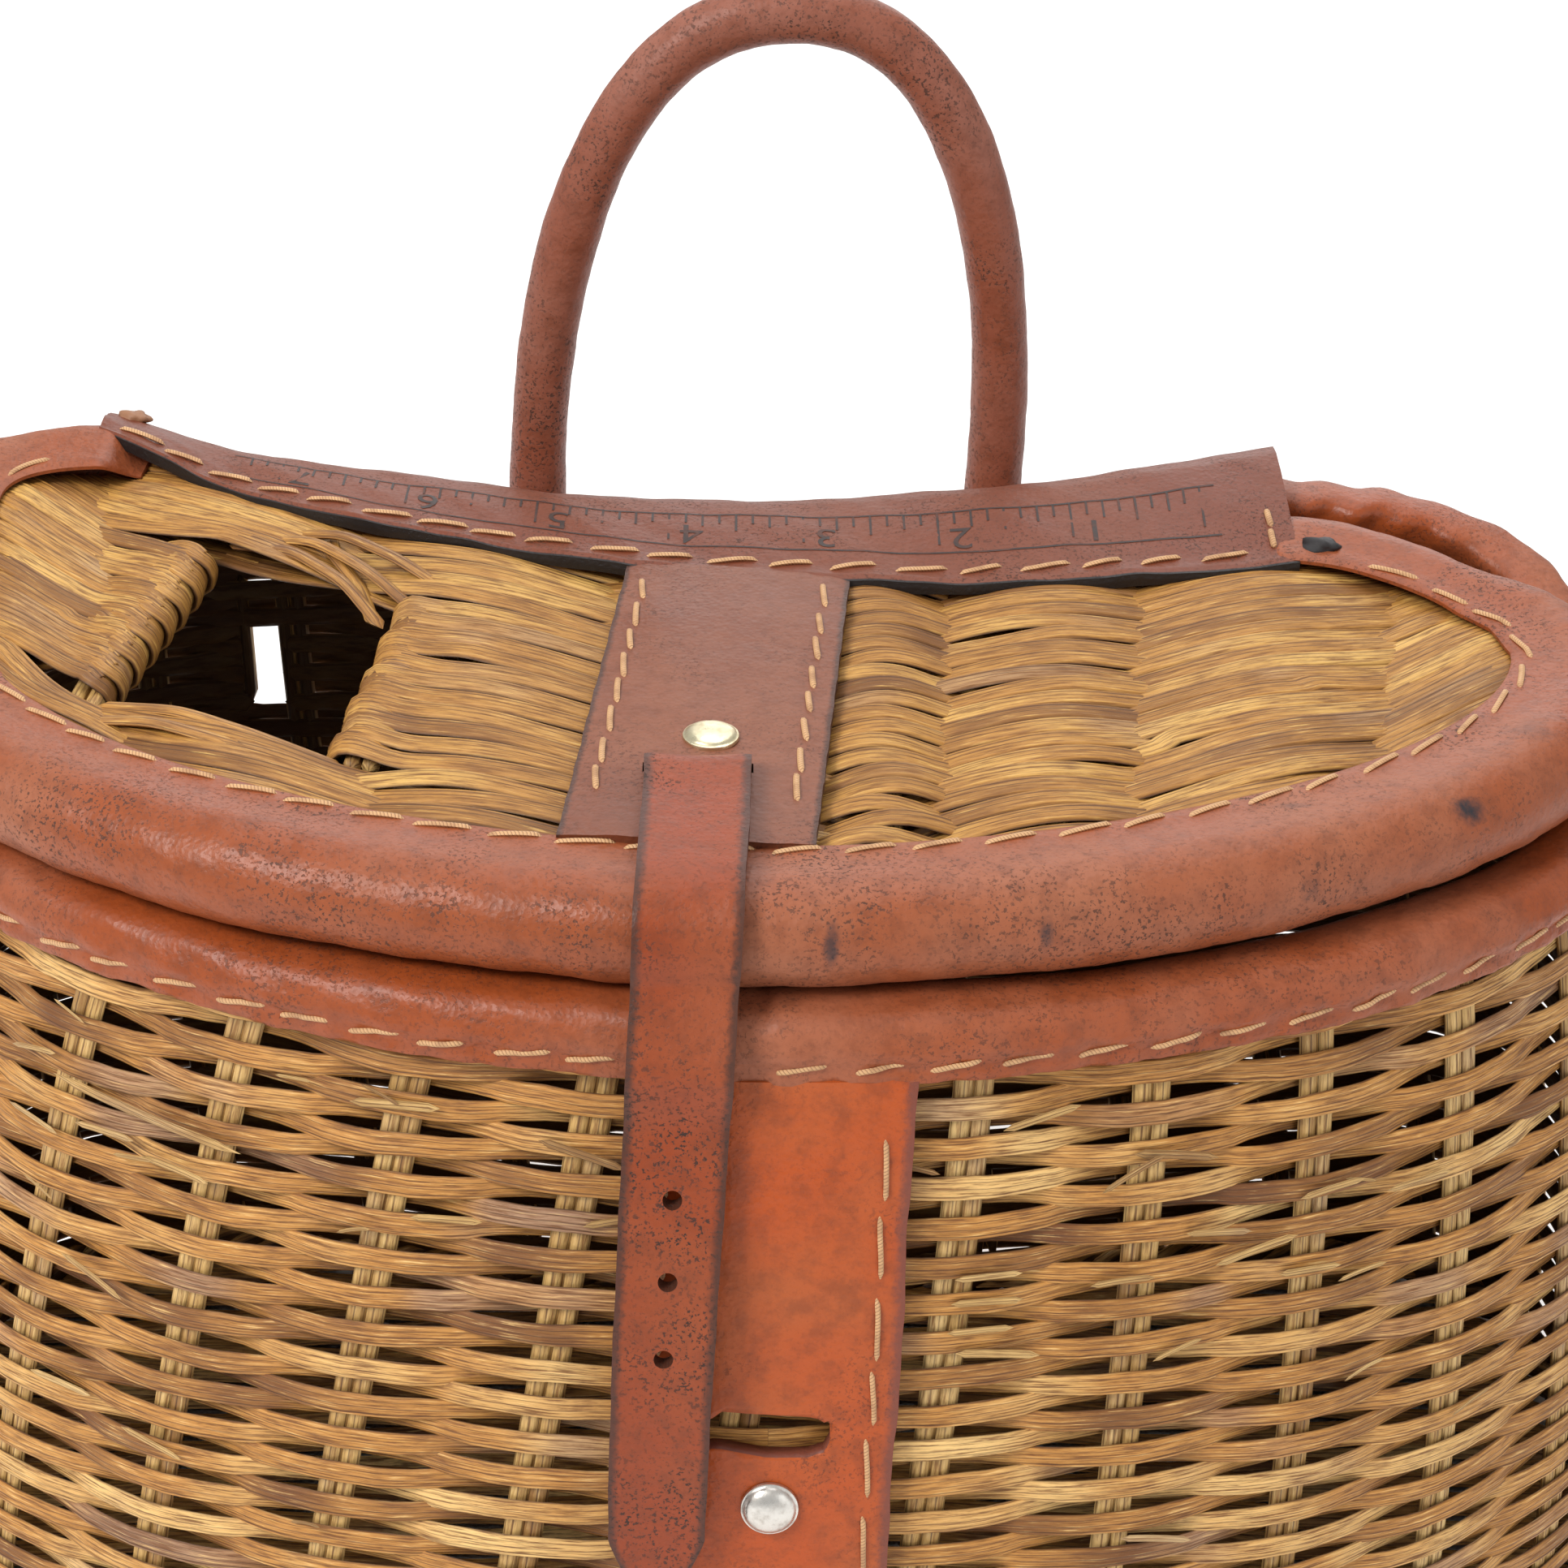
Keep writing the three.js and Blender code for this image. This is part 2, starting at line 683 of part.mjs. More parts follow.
// The closing strap's middle line, from inside the slot over the rolled rim and down the front.
function strapRoute() {
  const half = strapLeather / 2;
  const rollMiddle = -lidPlan.front + rollRadius + sideLine;
  const rollHeight = lidTop + rollRise - rollRadius;
  const reach = rollRadius + seatGap + half;
  const flat = lidTop + seatGap + bandLeather + seatGap + half;
  const slot = slotAlong + sideLine;
  const route = [
    new THREE.Vector2(slot, lidTop + seatGap),
    ...strapRise.map(({ run, up }) => (
      new THREE.Vector2(slot - run * strapRun, flat + up * strapLeather)
    )),
    new THREE.Vector2(rollMiddle + rollRadius, rollHeight + reach - seatGap / 2),
  ];
  for (let step = 0; step <= 6; step += 1) {
    const angle = THREE.MathUtils.lerp(Math.PI / 2, -Math.PI / 12, step / 6);
    route.push(new THREE.Vector2(
      rollMiddle - reach * Math.cos(angle),
      rollHeight + reach * Math.sin(angle),
    ));
  }
  const near = Math.min(0, strapMiddle + strapWidth / 2);
  const bindingFace = frontFace(near, wallHeight - bindingDrop) - bindingBulge - bindingSwell;
  const start = wallHeight - bindingDrop * bindingBulgeAt;
  route.push(new THREE.Vector2(bindingFace - seatGap - half, start));
  const steps = 9;
  for (let step = 1; step <= steps; step += 1) {
    const height = THREE.MathUtils.lerp(start, strapTipHeight, step / steps);
    const slack = strapSlack * Math.sin((Math.PI * step) / (steps + 1)) ** 2;
    const face = panelFace(near, height) - seatGap - half - slack;
    route.push(new THREE.Vector2(face, height));
  }
  return route;
}

// The tapered closing strap with its pointed tip and three holes.
function closingStrap() {
  const route = strapRoute();
  const lengths = [0];
  for (let index = 1; index < route.length; index += 1) {
    lengths.push(lengths[index - 1] + route[index].distanceTo(route[index - 1]));
  }
  const whole = lengths[lengths.length - 1];
  const rings = route.map((middle, index) => {
    const before = route[Math.max(index - 1, 0)];
    const after = route[Math.min(index + 1, route.length - 1)];
    const along = after.clone().sub(before).normalize();
    const thick = new THREE.Vector2(-along.y, along.x).multiplyScalar(strapLeather / 2);
    const taper = THREE.MathUtils.lerp(strapWidth, strapTipWidth, lengths[index] / whole);
    const left = whole - lengths[index];
    const share = Math.min(1, left / strapPoint);
    const point = strapTipShare + (1 - strapTipShare) * share ** strapTipCurve;
    const half = (taper / 2) * point;
    const corners = [[-1, -1], [1, -1], [1, 1], [-1, 1]];
    return corners.map(([side, face]) => new THREE.Vector3(
      strapMiddle + side * half,
      middle.x + thick.x * face,
      middle.y + thick.y * face,
    ));
  });
  const holes = strapHoleHeights.map((height) => {
    const hole = new THREE.CylinderGeometry(strapHoleRadius, strapHoleRadius, 12 * strapLeather, 8);
    hole.translate(strapMiddle, panelFace(strapMiddle, height), height);
    return hole;
  });
  return cutOut(loftRings(rings, false), holes);
}

// A domed cap rivet along +Z, its flat face at zero.
function capRivet() {
  const profile = [new THREE.Vector2(0, 0), new THREE.Vector2(rivetRadius, 0)];
  const steps = 5;
  for (let step = 0; step < steps; step += 1) {
    const angle = ((Math.PI / 2) * step) / steps;
    profile.push(new THREE.Vector2(
      rivetRadius * Math.cos(angle),
      rivetSkirt + rivetDome * Math.sin(angle),
    ));
  }
  profile.push(new THREE.Vector2(0, rivetSkirt + rivetDome));
  return new THREE.LatheGeometry(profile, rivetSides).rotateX(Math.PI / 2);
}

// The back wall's face at a height, as a distance behind the origin.
function backFace(x, height) {
  return backDepth(planAtHeight(height / (wallHeight + wallRise * tabRise)), x) + sideLine;
}

// The back wall's slope across, at x and a height.
function backSlope(x, height) {
  const reach = tabWidth / 2;
  return (backFace(x + reach, height) - backFace(x - reach, height)) / tabWidth;
}

// The depth of the plane that the handle stands in, clear of the binding and the hinge strip.
function handlePlane() {
  const sides = [handleMiddle - handleHalfSpan, handleMiddle + handleHalfSpan];
  const rim = sides.map((x) => (
    backFace(x, wallHeight - bindingDrop) + bindingBulge + bindingSwell
  ));
  const strip = sides.map((x) => stripFront(x - lidShift) + stripWidthAt(x));
  return Math.max(...rim, ...strip) + 3 * seatGap + handleRadius;
}

// One side of the handle's middle line, from the tab's foot up to where the arch begins.
function handleLeg(side) {
  const x = handleMiddle + side * handleHalfSpan;
  const plane = handlePlane();
  const wallAt = (height) => backFace(x, height) + 2 * seatGap + tabLeather / 2;
  const top = lidTop - tabTopDrop;
  const foot = top - tabLength;
  const base = lidTop - handleGap;
  const starts = { foot, middle: (foot + top) / 2, top };
  const rows = tabTable.map((row) => {
    const height = starts[row.from] + row.foot * tabCorner + row.neck * tabNeck;
    const wall = wallAt(Math.min(height, top));
    const y = THREE.MathUtils.lerp(wall, plane, row.swing);
    return { height, y, flat: row.flat, trim: row.trim };
  });
  rows.push({ height: base, y: plane, flat: 0, trim: 1 });
  return rows.map((row) => ({ ...row, x, slope: backSlope(x, row.height) * row.flat }));
}

// The rolled handle: a round arch whose ends flatten into tabs on the body's back.
function carryHandle() {
  const plane = handlePlane();
  const base = lidTop - handleGap;
  const rise = handleRise + handleGap;
  const arch = [];
  const steps = 26;
  for (let step = 1; step < steps; step += 1) {
    const angle = Math.PI * (1 - step / steps);
    const across = Math.sign(Math.cos(angle)) * Math.abs(Math.cos(angle)) ** (2 / handleRoundness);
    const up = Math.sin(angle) ** (2 / handleRoundness);
    arch.push({
      x: handleMiddle + across * handleHalfSpan + handleLean * up,
      y: plane,
      height: base + rise * up,
      flat: 0,
      trim: 1,
      slope: 0,
    });
  }
  const route = [...handleLeg(-1), ...arch, ...handleLeg(1).reverse()];
  const rings = route.map((row, index) => {
    const before = route[Math.max(index - 1, 0)];
    const after = route[Math.min(index + 1, route.length - 1)];
    const along = new THREE.Vector3(
      after.x - before.x,
      after.y - before.y,
      after.height - before.height,
    ).normalize();
    const across = new THREE.Vector3(0, -1, 0).cross(along).normalize();
    across.y = row.slope * across.x;
    across.normalize();
    const thick = along.clone().cross(across).normalize();
    const halfWidth = THREE.MathUtils.lerp(handleRadius, (tabWidth / 2) * row.trim, row.flat);
    const halfThick = THREE.MathUtils.lerp(handleRadius, tabLeather / 2, row.flat);
    const ring = [];
    for (let side = 0; side < handleSides; side += 1) {
      const angle = (2 * Math.PI * (side + 0.5)) / handleSides;
      const square = THREE.MathUtils.lerp(1, tabSquareness, row.flat);
      const u = Math.sign(Math.cos(angle)) * Math.abs(Math.cos(angle)) ** square;
      const v = Math.sign(Math.sin(angle)) * Math.abs(Math.sin(angle)) ** square;
      ring.push(new THREE.Vector3(row.x, row.y, row.height)
        .addScaledVector(across, u * halfWidth)
        .addScaledVector(thick, v * halfThick));
    }
    return ring;
  });
  return loftRings(rings, false);
}

const colours = {
  straw: 0xb98d4c,
  darkStraw: 0xa9803f,
  tan: 0x9a5136,
  dustyTan: 0x95584a,
  orangeTan: 0xa34f28,
  brass: 0xb9a673,
  nickel: 0xb5b1a8,
};

// A named piece with its own material.
function piece(name, geometry, color, roughness, metalness = 0) {
  const material = new THREE.MeshStandardMaterial({ color, roughness, metalness });
  const mesh = new THREE.Mesh(geometry, material);
  mesh.name = name;
  return mesh;
}

const group = new THREE.Group();
group.add(piece('basket_body', basketBody(), colours.darkStraw, 0.7));
group.add(piece('body_rim', bodyRim(), colours.tan, 0.5));
group.add(piece('front_panel', frontPanel(), colours.orangeTan, 0.45));
group.add(piece('lid_wicker', lidWicker(), colours.straw, 0.7));
group.add(piece('lid_rim', lidRim(), colours.tan, 0.45));
group.add(piece('lid_band', lidBand(), colours.dustyTan, 0.55));
group.add(piece('hinge_strip', hingeStrip(), colours.dustyTan, 0.55));
group.add(piece('closing_strap', closingStrap(), colours.dustyTan, 0.55));
group.add(piece('carry_handle', carryHandle(), colours.tan, 0.5));

const frontStud = piece('front_stud', capRivet(), colours.nickel, 0.25, 1);
const studBelow = panelFace(studMiddle, studHeight - rivetRadius);
const studAbove = panelFace(studMiddle, studHeight + rivetRadius);
frontStud.rotation.x = Math.PI / 2 - Math.atan((studAbove - studBelow) / (2 * rivetRadius));
frontStud.position.set(studMiddle, panelFace(studMiddle, studHeight) - seatGap, studHeight);
group.add(frontStud);

const lidRivet = piece('lid_rivet', capRivet(), colours.brass, 0.3, 1);
lidRivet.position.set(
  lidRivetMiddle,
  lidRivetAlong + sideLine,
  lidTop + seatGap + bandLeather + seatGap,
);
group.add(lidRivet);

for (const [name, side] of [['handle_rivet_left', -1], ['handle_rivet_right', 1]]) {
  const rivet = piece(name, capRivet(), colours.nickel, 0.3, 1);
  const x = handleMiddle + side * handleHalfSpan;
  const height = lidTop - tabRivetDrop;
  rivet.rotation.set(-Math.PI / 2, 0, Math.atan(backSlope(x, height)), 'ZXY');
  rivet.position.set(x, backFace(x, height) + 4 * seatGap + tabLeather, height);
  group.add(rivet);
}

export default group;
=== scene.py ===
"""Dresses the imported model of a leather-bound split-willow fishing creel."""
import logging
import math
from dataclasses import dataclass
from enum import Enum
from typing import Callable, Sequence

import bmesh
import bpy
import numpy as np
from mathutils import Matrix, Vector


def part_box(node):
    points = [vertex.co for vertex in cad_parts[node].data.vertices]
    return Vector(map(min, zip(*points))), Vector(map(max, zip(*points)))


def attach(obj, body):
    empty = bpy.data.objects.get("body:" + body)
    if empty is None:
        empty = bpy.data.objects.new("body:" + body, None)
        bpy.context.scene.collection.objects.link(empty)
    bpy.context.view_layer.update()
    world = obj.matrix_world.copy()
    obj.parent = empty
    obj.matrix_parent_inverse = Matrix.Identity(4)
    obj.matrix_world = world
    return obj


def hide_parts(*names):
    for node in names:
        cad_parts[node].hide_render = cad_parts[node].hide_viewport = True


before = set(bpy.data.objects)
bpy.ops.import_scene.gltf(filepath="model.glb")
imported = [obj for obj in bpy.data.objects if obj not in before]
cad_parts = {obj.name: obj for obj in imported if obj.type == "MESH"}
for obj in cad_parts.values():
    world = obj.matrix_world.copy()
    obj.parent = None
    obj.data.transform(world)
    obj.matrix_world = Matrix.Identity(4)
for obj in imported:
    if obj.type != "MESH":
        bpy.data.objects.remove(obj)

LOG = logging.getLogger("creel")
MM = 0.001
BODY = "root"
FACE_SHARE = 0.375  # where the outer face's middle lies on the way round a strand
GROOVE_SHADE_TURN = 16.755  # puts a line of painted shade in each groove of a strand

Array = np.ndarray
Row = tuple[float, float]
Colour = tuple[float, float, float]
Strand = tuple[Array, Array, Array]
Thing = bpy.types.Object
Socket = bpy.types.NodeSocket


def read_table(rows: Sequence[Row], place: Array) -> Array:
    """Reads a two-column table along a smooth curve.

    Args:
        rows: pairs of key and value, in the order of their keys.
        place: keys to read the values at.

    Returns:
        One value for each key.
    """
    keys = np.array([row[0] for row in rows])
    values = np.array([row[1] for row in rows])
    last = len(keys) - 1
    at = np.clip(place, keys[0], keys[last])
    row = np.clip(np.searchsorted(keys, at, side="left") - 1, 0, last - 1)
    before = np.maximum(row - 1, 0)
    after = np.minimum(row + 2, last)
    width = keys[row + 1] - keys[row]
    t = (at - keys[row]) / width
    slope_from = (values[row + 1] - values[before]) / np.maximum(keys[row + 1] - keys[before], width)
    slope_to = (values[after] - values[row]) / np.maximum(keys[after] - keys[row], width)
    return (
        (2 * t**3 - 3 * t**2 + 1) * values[row]
        + (t**3 - 2 * t**2 + t) * width * slope_from
        + (3 * t**2 - 2 * t**3) * values[row + 1]
        + (t**3 - t**2) * width * slope_to
    )


def soft_step(low: float, high: float, x: Array) -> Array:
    """Rises smoothly from 0 at low to 1 at high."""
    t = np.clip((x - low) / (high - low), 0.0, 1.0)
    return t * t * (3 - 2 * t)


def unit(vectors: Array) -> Array:
    """Vectors of length one, along the last axis."""
    return vectors / np.maximum(np.linalg.norm(vectors, axis=-1, keepdims=True), 1e-9)


def ripple(x: Array, seed: int, scale: float) -> Array:
    """A smooth random wave between about -1 and 1.

    Args:
        x: places along the wave.
        seed: picks the wave.
        scale: the length of its longest ripple.

    Returns:
        The wave's height at each place.
    """
    rng = np.random.default_rng(seed)
    total = np.zeros_like(x, dtype=float)
    for octave, share in ((1.0, 0.55), (2.3, 0.3), (4.9, 0.15)):
        total += share * np.sin(2 * math.pi * x * octave / scale + rng.uniform(0, 2 * math.pi))
    return total


def signed_power(x: Array, power: Array | float) -> Array:
    """The power of a value's size, with the value's own sign."""
    return np.sign(x) * np.abs(x) ** power


def run_along(points: Array) -> Array:
    """The distance from a path's first point to each of its points."""
    return np.concatenate([[0.0], np.cumsum(np.linalg.norm(np.diff(points, axis=0), axis=1))])


def sampled(at: Array, run: Array, values: Array) -> Array:
    """Each column of a table, read at distances along a path."""
    return np.stack([np.interp(at, run, column) for column in values.T], axis=-1)


def softened(path: Array, passes: int) -> Array:
    """An open path with its bends evened out a number of times."""
    for _ in range(passes):
        path[1:-1] = (path[:-2] + 2 * path[1:-1] + path[2:]) / 4
    return path


def facing(direction: Sequence[float], *shape: int) -> Array:
    """One direction for every point."""
    return np.tile(np.array(direction, float), (*shape, 1))


def closed(*shape: int) -> Array:
    """Full sizes along strands, with both ends of each one shut."""
    size = np.ones(shape)
    size[..., [0, -1]] = 0.0
    return size


@dataclass(frozen=True)
class Plan:
    """A kidney-shaped outline, drawn from the line across the basket where it is widest."""

    half_width: float
    front: float
    back: float
    dent: float
    skew_x: float
    skew_y: float
    front_roundness: float = 1.85
    back_roundness: float = 3.3

    def mixed(self, other: "Plan", share: float) -> "Plan":
        """A plan part of the way to another one.

        Args:
            other: the other plan.
            share: how far to go, from 0 to 1.

        Returns:
            The plan between them.
        """
        pairs = zip(
            (self.half_width, self.front, self.back, self.dent, self.skew_x, self.skew_y),
            (other.half_width, other.front, other.back, other.dent, other.skew_x, other.skew_y),
        )
        return Plan(*(a + (b - a) * share for a, b in pairs))

    def share(self, x: Array, roundness: float) -> Array:
        """The share of the outline's depth that is left at x."""
        inside = np.maximum(0.0, 1 - np.abs(x / self.half_width) ** roundness)
        return inside ** (1 / roundness)

    def front_depth(self, x: Array) -> Array:
        """The front's place ahead of the side line."""
        return -self.front * self.share(x, self.front_roundness)

    def back_depth(self, x: Array) -> Array:
        """The back's place behind the side line, with its dent and skew.

        Args:
            x: places across.

        Returns:
            Depths in millimetres.
        """
        share = self.share(x, self.back_roundness)
        hollow = np.maximum(0.0, 1 - (x / self.half_width) ** 2)
        return self.back * share - self.dent * hollow - self.skew_y * x * share

    def loop(self) -> "Loop":
        """The closed outline."""
        return Loop(self)


class Loop:
    """A closed outline that is read by the share of its length, from the front's middle."""

    STEPS = 1440
    REACH = 1 / 72

    def __init__(self, plan: Plan) -> None:
        """Measures the outline of a plan."""
        angle = np.linspace(0.0, 2 * math.pi, self.STEPS + 1)
        front = np.cos(angle) >= 0
        power = np.where(front, 2 / plan.front_roundness, 2 / plan.back_roundness)
        x = plan.half_width * signed_power(np.sin(angle), power)
        y = np.where(front, plan.front_depth(x), plan.back_depth(x))
        x = x + np.where(front, 0.0, plan.skew_x * y)
        self.points = np.stack([x, y], axis=1)
        lengths = run_along(self.points)
        self.length = float(lengths[-1])
        self.places = lengths / self.length

    def point(self, place: Array) -> Array:
        """Points on the outline."""
        return sampled(np.mod(place, 1.0), self.places, self.points)

    def outward(self, place: Array) -> Array:
        """Directions that point out of the outline."""
        tangent = unit(self.point(place + self.REACH) - self.point(place - self.REACH))
        return np.stack([tangent[..., 1], -tangent[..., 0]], axis=-1)

    def place_of_x(self, x: float, low: float, high: float) -> float:
        """The place between low and high where the outline is nearest to x.

        Args:
            x: the place across.
            low: the first share that is tried.
            high: the last one.

        Returns:
            The share of the outline's length.
        """
        places = np.linspace(low, high, 2001)
        return float(places[np.argmin(np.abs(self.point(places)[:, 0] - x))])


@dataclass(frozen=True)
class CreelShape:
    """The creel's form in millimetres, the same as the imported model's."""

    wall_height: float = 194.0
    wall_rise: float = 10.0
    tab_rise: float = 1.35
    wall_middle: float = -2.5
    binding_drop: float = 8.0
    binding_bulge: float = 4.0
    binding_swell: float = 0.6
    lid_top: float = 211.9
    lid_shift: float = -3.5
    roll_radius: float = 9.0
    roll_rise: float = 3.5
    seat: float = 0.3
    strip_left: float = -132.5
    strip_right: float = 99.0
    strip_full: float = 35.0
    strip_depth: float = 24.5
    strip_bow: float = 470.0
    strip_skew: float = 0.13
    strip_widths: tuple[Row, ...] = ((0.0, 0.42), (0.2, 0.78), (0.5, 0.95), (0.75, 1.05), (1.0, 1.18))
    base_plan: Plan = Plan(184, 118, 140, 58, 0, 0)
    rim_plan: Plan = Plan(155.5, 92, 116, 53, 0, 0.07)
    lid_plan: Plan = Plan(158, 92.4, 83, 35, -0.134, 0.185)
    profile: tuple[Row, ...] = (
        (0.0, 1.0), (0.04, 1.0), (0.25, 0.93), (0.5, 0.72), (0.73, 0.45), (0.9, 0.2), (1.0, 0.0),
    )
    rise: tuple[Row, ...] = (
        (-0.5, 1.2), (-0.42, 1.0), (-0.34, 0.1), (-0.25, 0.0), (0.0, 0.0), (0.25, 0.0),
        (0.33, 1.3), (0.42, 1.5), (0.5, 1.2),
    )

    @property
    def side_line(self) -> float:
        """The depth of the side line, which puts the base's middle on the origin."""
        depths = self.base_plan.loop().points[:, 1]
        return -(float(depths.min()) + float(depths.max())) / 2

    def plan_at(self, share: float) -> Plan:
        """The wall's plan at a share of its height."""
        spread = float(read_table(self.profile, np.array([share]))[0])
        return self.rim_plan.mixed(self.base_plan, spread)

    def wall_top(self, place: Array) -> Array:
        """The height of the wall's top at places round the rim."""
        signed = np.mod(place + 0.5, 1.0) - 0.5
        return self.wall_height + self.wall_rise * read_table(self.rise, signed)

    def front_face(self, x: Array, height: Array) -> Array:
        """The front wall's depth at x, for one height or one for each x.

        Args:
            x: places across.
            height: heights over the floor.

        Returns:
            Depths in the world.
        """
        heights = np.broadcast_to(height, np.shape(x))
        result = np.zeros(np.shape(x))
        for value in np.unique(heights):
            plan = self.plan_at(float(value) / self.wall_height)
            result = np.where(heights == value, plan.front_depth(x), result)
        return result + self.side_line

    def back_face(self, x: float, height: float) -> float:
        """The back wall's depth at one place."""
        plan = self.plan_at(height / (self.wall_height + self.wall_rise * self.tab_rise))
        return float(plan.back_depth(np.array([x]))[0]) + self.side_line

    def strip_edge(self, x: Array) -> Array:
        """The hinge strip's front edge on the lid's own plan."""
        return self.strip_depth + x**2 / self.strip_bow - self.strip_skew * x

    def strip_front(self, x: Array) -> Array:
        """The hinge strip's front edge, at x in the world."""
        return self.strip_edge(x - self.lid_shift) + self.side_line

    def strip_share(self, x: Array) -> Array:
        """The share of the hinge strip's length at x in the world."""
        return (x - self.strip_left) / (self.strip_right - self.strip_left)

    def strip_width(self, x: Array) -> Array:
        """The hinge strip's width at x in the world."""
        return self.strip_full * read_table(self.strip_widths, self.strip_share(x))

    @property
    def lid_origin(self) -> Array:
        """The middle of the lid's side line, on the lid's top."""
        return np.array([self.lid_shift, self.side_line, self.lid_top])

    def placed(self, flat: Array, height: Array) -> Array:
        """Points of a plan at their heights, with the base's middle on the origin."""
        return np.column_stack([flat[:, 0], flat[:, 1] + self.side_line, height])


class MeshKit:
    """Makes finished objects out of grids that are bent into shape."""

    @staticmethod
    def grid(
        name: str,
        columns: int,
        rows: int,
        place: Callable[[Array, Array], Array],
        uv: Callable[[Array, Array], Array] | None = None,
        keep: Callable[[Array, Array], Array] | None = None,
        cap: bool = False,
        weld: float = 2e-6,
        sharp: float = 40.0,
    ) -> Thing:
        """A grid bent into a shell, with the edges that meet joined.

        Args:
            name: the object's name.
            columns: vertices along the grid.
            rows: vertices across it.
            place: gives millimetre points for column and row numbers.
            uv: gives pattern coordinates for column and row numbers.
            keep: tells which faces stay, from the numbers of their first column and row.
            cap: closes open ends.
            weld: the distance within which vertices are joined, in metres.
            sharp: the angle in degrees over which an edge is left sharp.

        Returns:
            The finished object.
        """
        bm = bmesh.new()
        bmesh.ops.create_grid(bm, x_segments=columns - 1, y_segments=rows - 1, size=1.0)
        mesh = bpy.data.meshes.new(name)
        bm.to_mesh(mesh)
        bm.free()
        count = len(mesh.vertices)
        flat = np.zeros(count * 3, np.float32)
        mesh.vertices.foreach_get("co", flat)
        flat = flat.reshape(-1, 3)
        column = np.rint((flat[:, 0] + 1) / 2 * (columns - 1)).astype(int)
        row = np.rint((flat[:, 1] + 1) / 2 * (rows - 1)).astype(int)
        points = place(column, row) * MM
        mesh.vertices.foreach_set("co", points.astype(np.float32).ravel())
        loops = np.zeros(len(mesh.loops), np.int32)
        mesh.loops.foreach_get("vertex_index", loops)
        if uv is not None:
            layer = mesh.uv_layers.new(name="Along")
            layer.data.foreach_set("uv", uv(column, row)[loops].astype(np.float32).ravel())
        bm = bmesh.new()
        bm.from_mesh(mesh)
        if keep is not None:
            bm.faces.ensure_lookup_table()
            corner_column = column[loops].reshape(-1, 4).min(axis=1)
            corner_row = row[loops].reshape(-1, 4).min(axis=1)
            gone = np.nonzero(~keep(corner_column, corner_row))[0]
            faces = [bm.faces[int(index)] for index in gone]
            bmesh.ops.delete(bm, geom=faces, context="FACES")
        bmesh.ops.remove_doubles(bm, verts=bm.verts, dist=weld)
        if cap:
            bmesh.ops.holes_fill(bm, edges=bm.edges, sides=0)
        bmesh.ops.recalc_face_normals(bm, faces=bm.faces)
        bm.to_mesh(mesh)
        bm.free()
        mesh.shade_smooth()
        mesh.set_sharp_from_angle(angle=math.radians(sharp))
        return MeshKit.linked(name, mesh)

    @staticmethod
    def linked(name: str, data: bpy.types.ID) -> Thing:
        """A new object in the scene that holds a mesh, a lamp, a camera or a text."""
        thing = bpy.data.objects.new(name, data)
        bpy.context.scene.collection.objects.link(thing)
        return thing

    @staticmethod
    def solid(name: str, bm: bmesh.types.BMesh, sharp: float = 0.0) -> Thing:
        """Turns a bmesh into an object, smooth up to a sharp angle where one is given.

        Args:
            name: the object's name.
            bm: the bmesh, which is freed.
            sharp: the angle in degrees over which an edge is left sharp, 0 for flat faces.

        Returns:
            The finished object.
        """
        mesh = bpy.data.meshes.new(name)
        bm.to_mesh(mesh)
        bm.free()
        if sharp > 0:
            mesh.shade_smooth()
            mesh.set_sharp_from_angle(angle=math.radians(sharp))
        return MeshKit.linked(name, mesh)

    @staticmethod
    def across_uv(columns: int, section: Array) -> Callable[[Array, Array], Array]:
        """Pattern coordinates of a strip of leather: the shares along it and across it."""
        return lambda column, row: np.stack([column / (columns - 1), (section[row, 0] + 1) / 2], axis=1)

    @staticmethod
    def woven(name: str, rows: Sequence[Strand], profile: Array,
              first: int) -> Thing:
        """Strands of one length in samples, each given as points, directions of width and sizes."""
        centre, wide, size = (np.stack(part) for part in zip(*rows))
        return MeshKit.strands(name, centre, wide, size, profile, first)

    @staticmethod
    def strands(
        name: str,
        centre: Array,
        wide: Array,
        size: Array,
        profile: Array,
        first: int = 0,
        sharp: float = 60.0,
    ) -> Thing:
        """Many strands of one profile as one object.

        Args:
            name: the object's name.
            centre: points of each strand, strand by strand.
            wide: the direction of each point's width.
            size: how large the profile is at each point, 0 to close an end.
            profile: the section, as pairs of thickness and width.
            first: the number of the first strand in the pattern coordinates.
            sharp: the angle in degrees over which an edge is left sharp.

        Returns:
            The finished object.
        """
        strands, samples, _ = centre.shape
        along = unit(np.gradient(centre, axis=1))
        thick = unit(np.cross(along, wide))
        level = unit(np.cross(thick, along))
        lengths = np.linalg.norm(np.diff(centre, axis=1), axis=2)
        run = np.concatenate([np.zeros((strands, 1)), np.cumsum(lengths, axis=1)], axis=1) * MM
        sides = len(profile)
        ring = sides + 1

        def place(column: Array, row: Array) -> Array:
            """Points of the strands' surfaces."""
            strand, side = row // ring, row % ring % sides
            grow = size[strand, column][:, None]
            return (
                centre[strand, column]
                + thick[strand, column] * profile[side, 0][:, None] * grow
                + level[strand, column] * profile[side, 1][:, None] * grow
            )

        def uv(column: Array, row: Array) -> Array:
            """The distance along a strand, and its number plus the share round it."""
            strand, side = row // ring, row % ring
            return np.stack([run[strand, column], first + strand + 0.98 * side / sides], axis=1)

        def keep(column: Array, row: Array) -> Array:
            """Leaves out the faces between two strands."""
            return row % ring != sides

        return MeshKit.grid(
            name, samples, strands * ring, place, uv, keep, weld=1e-7, sharp=sharp,
        )

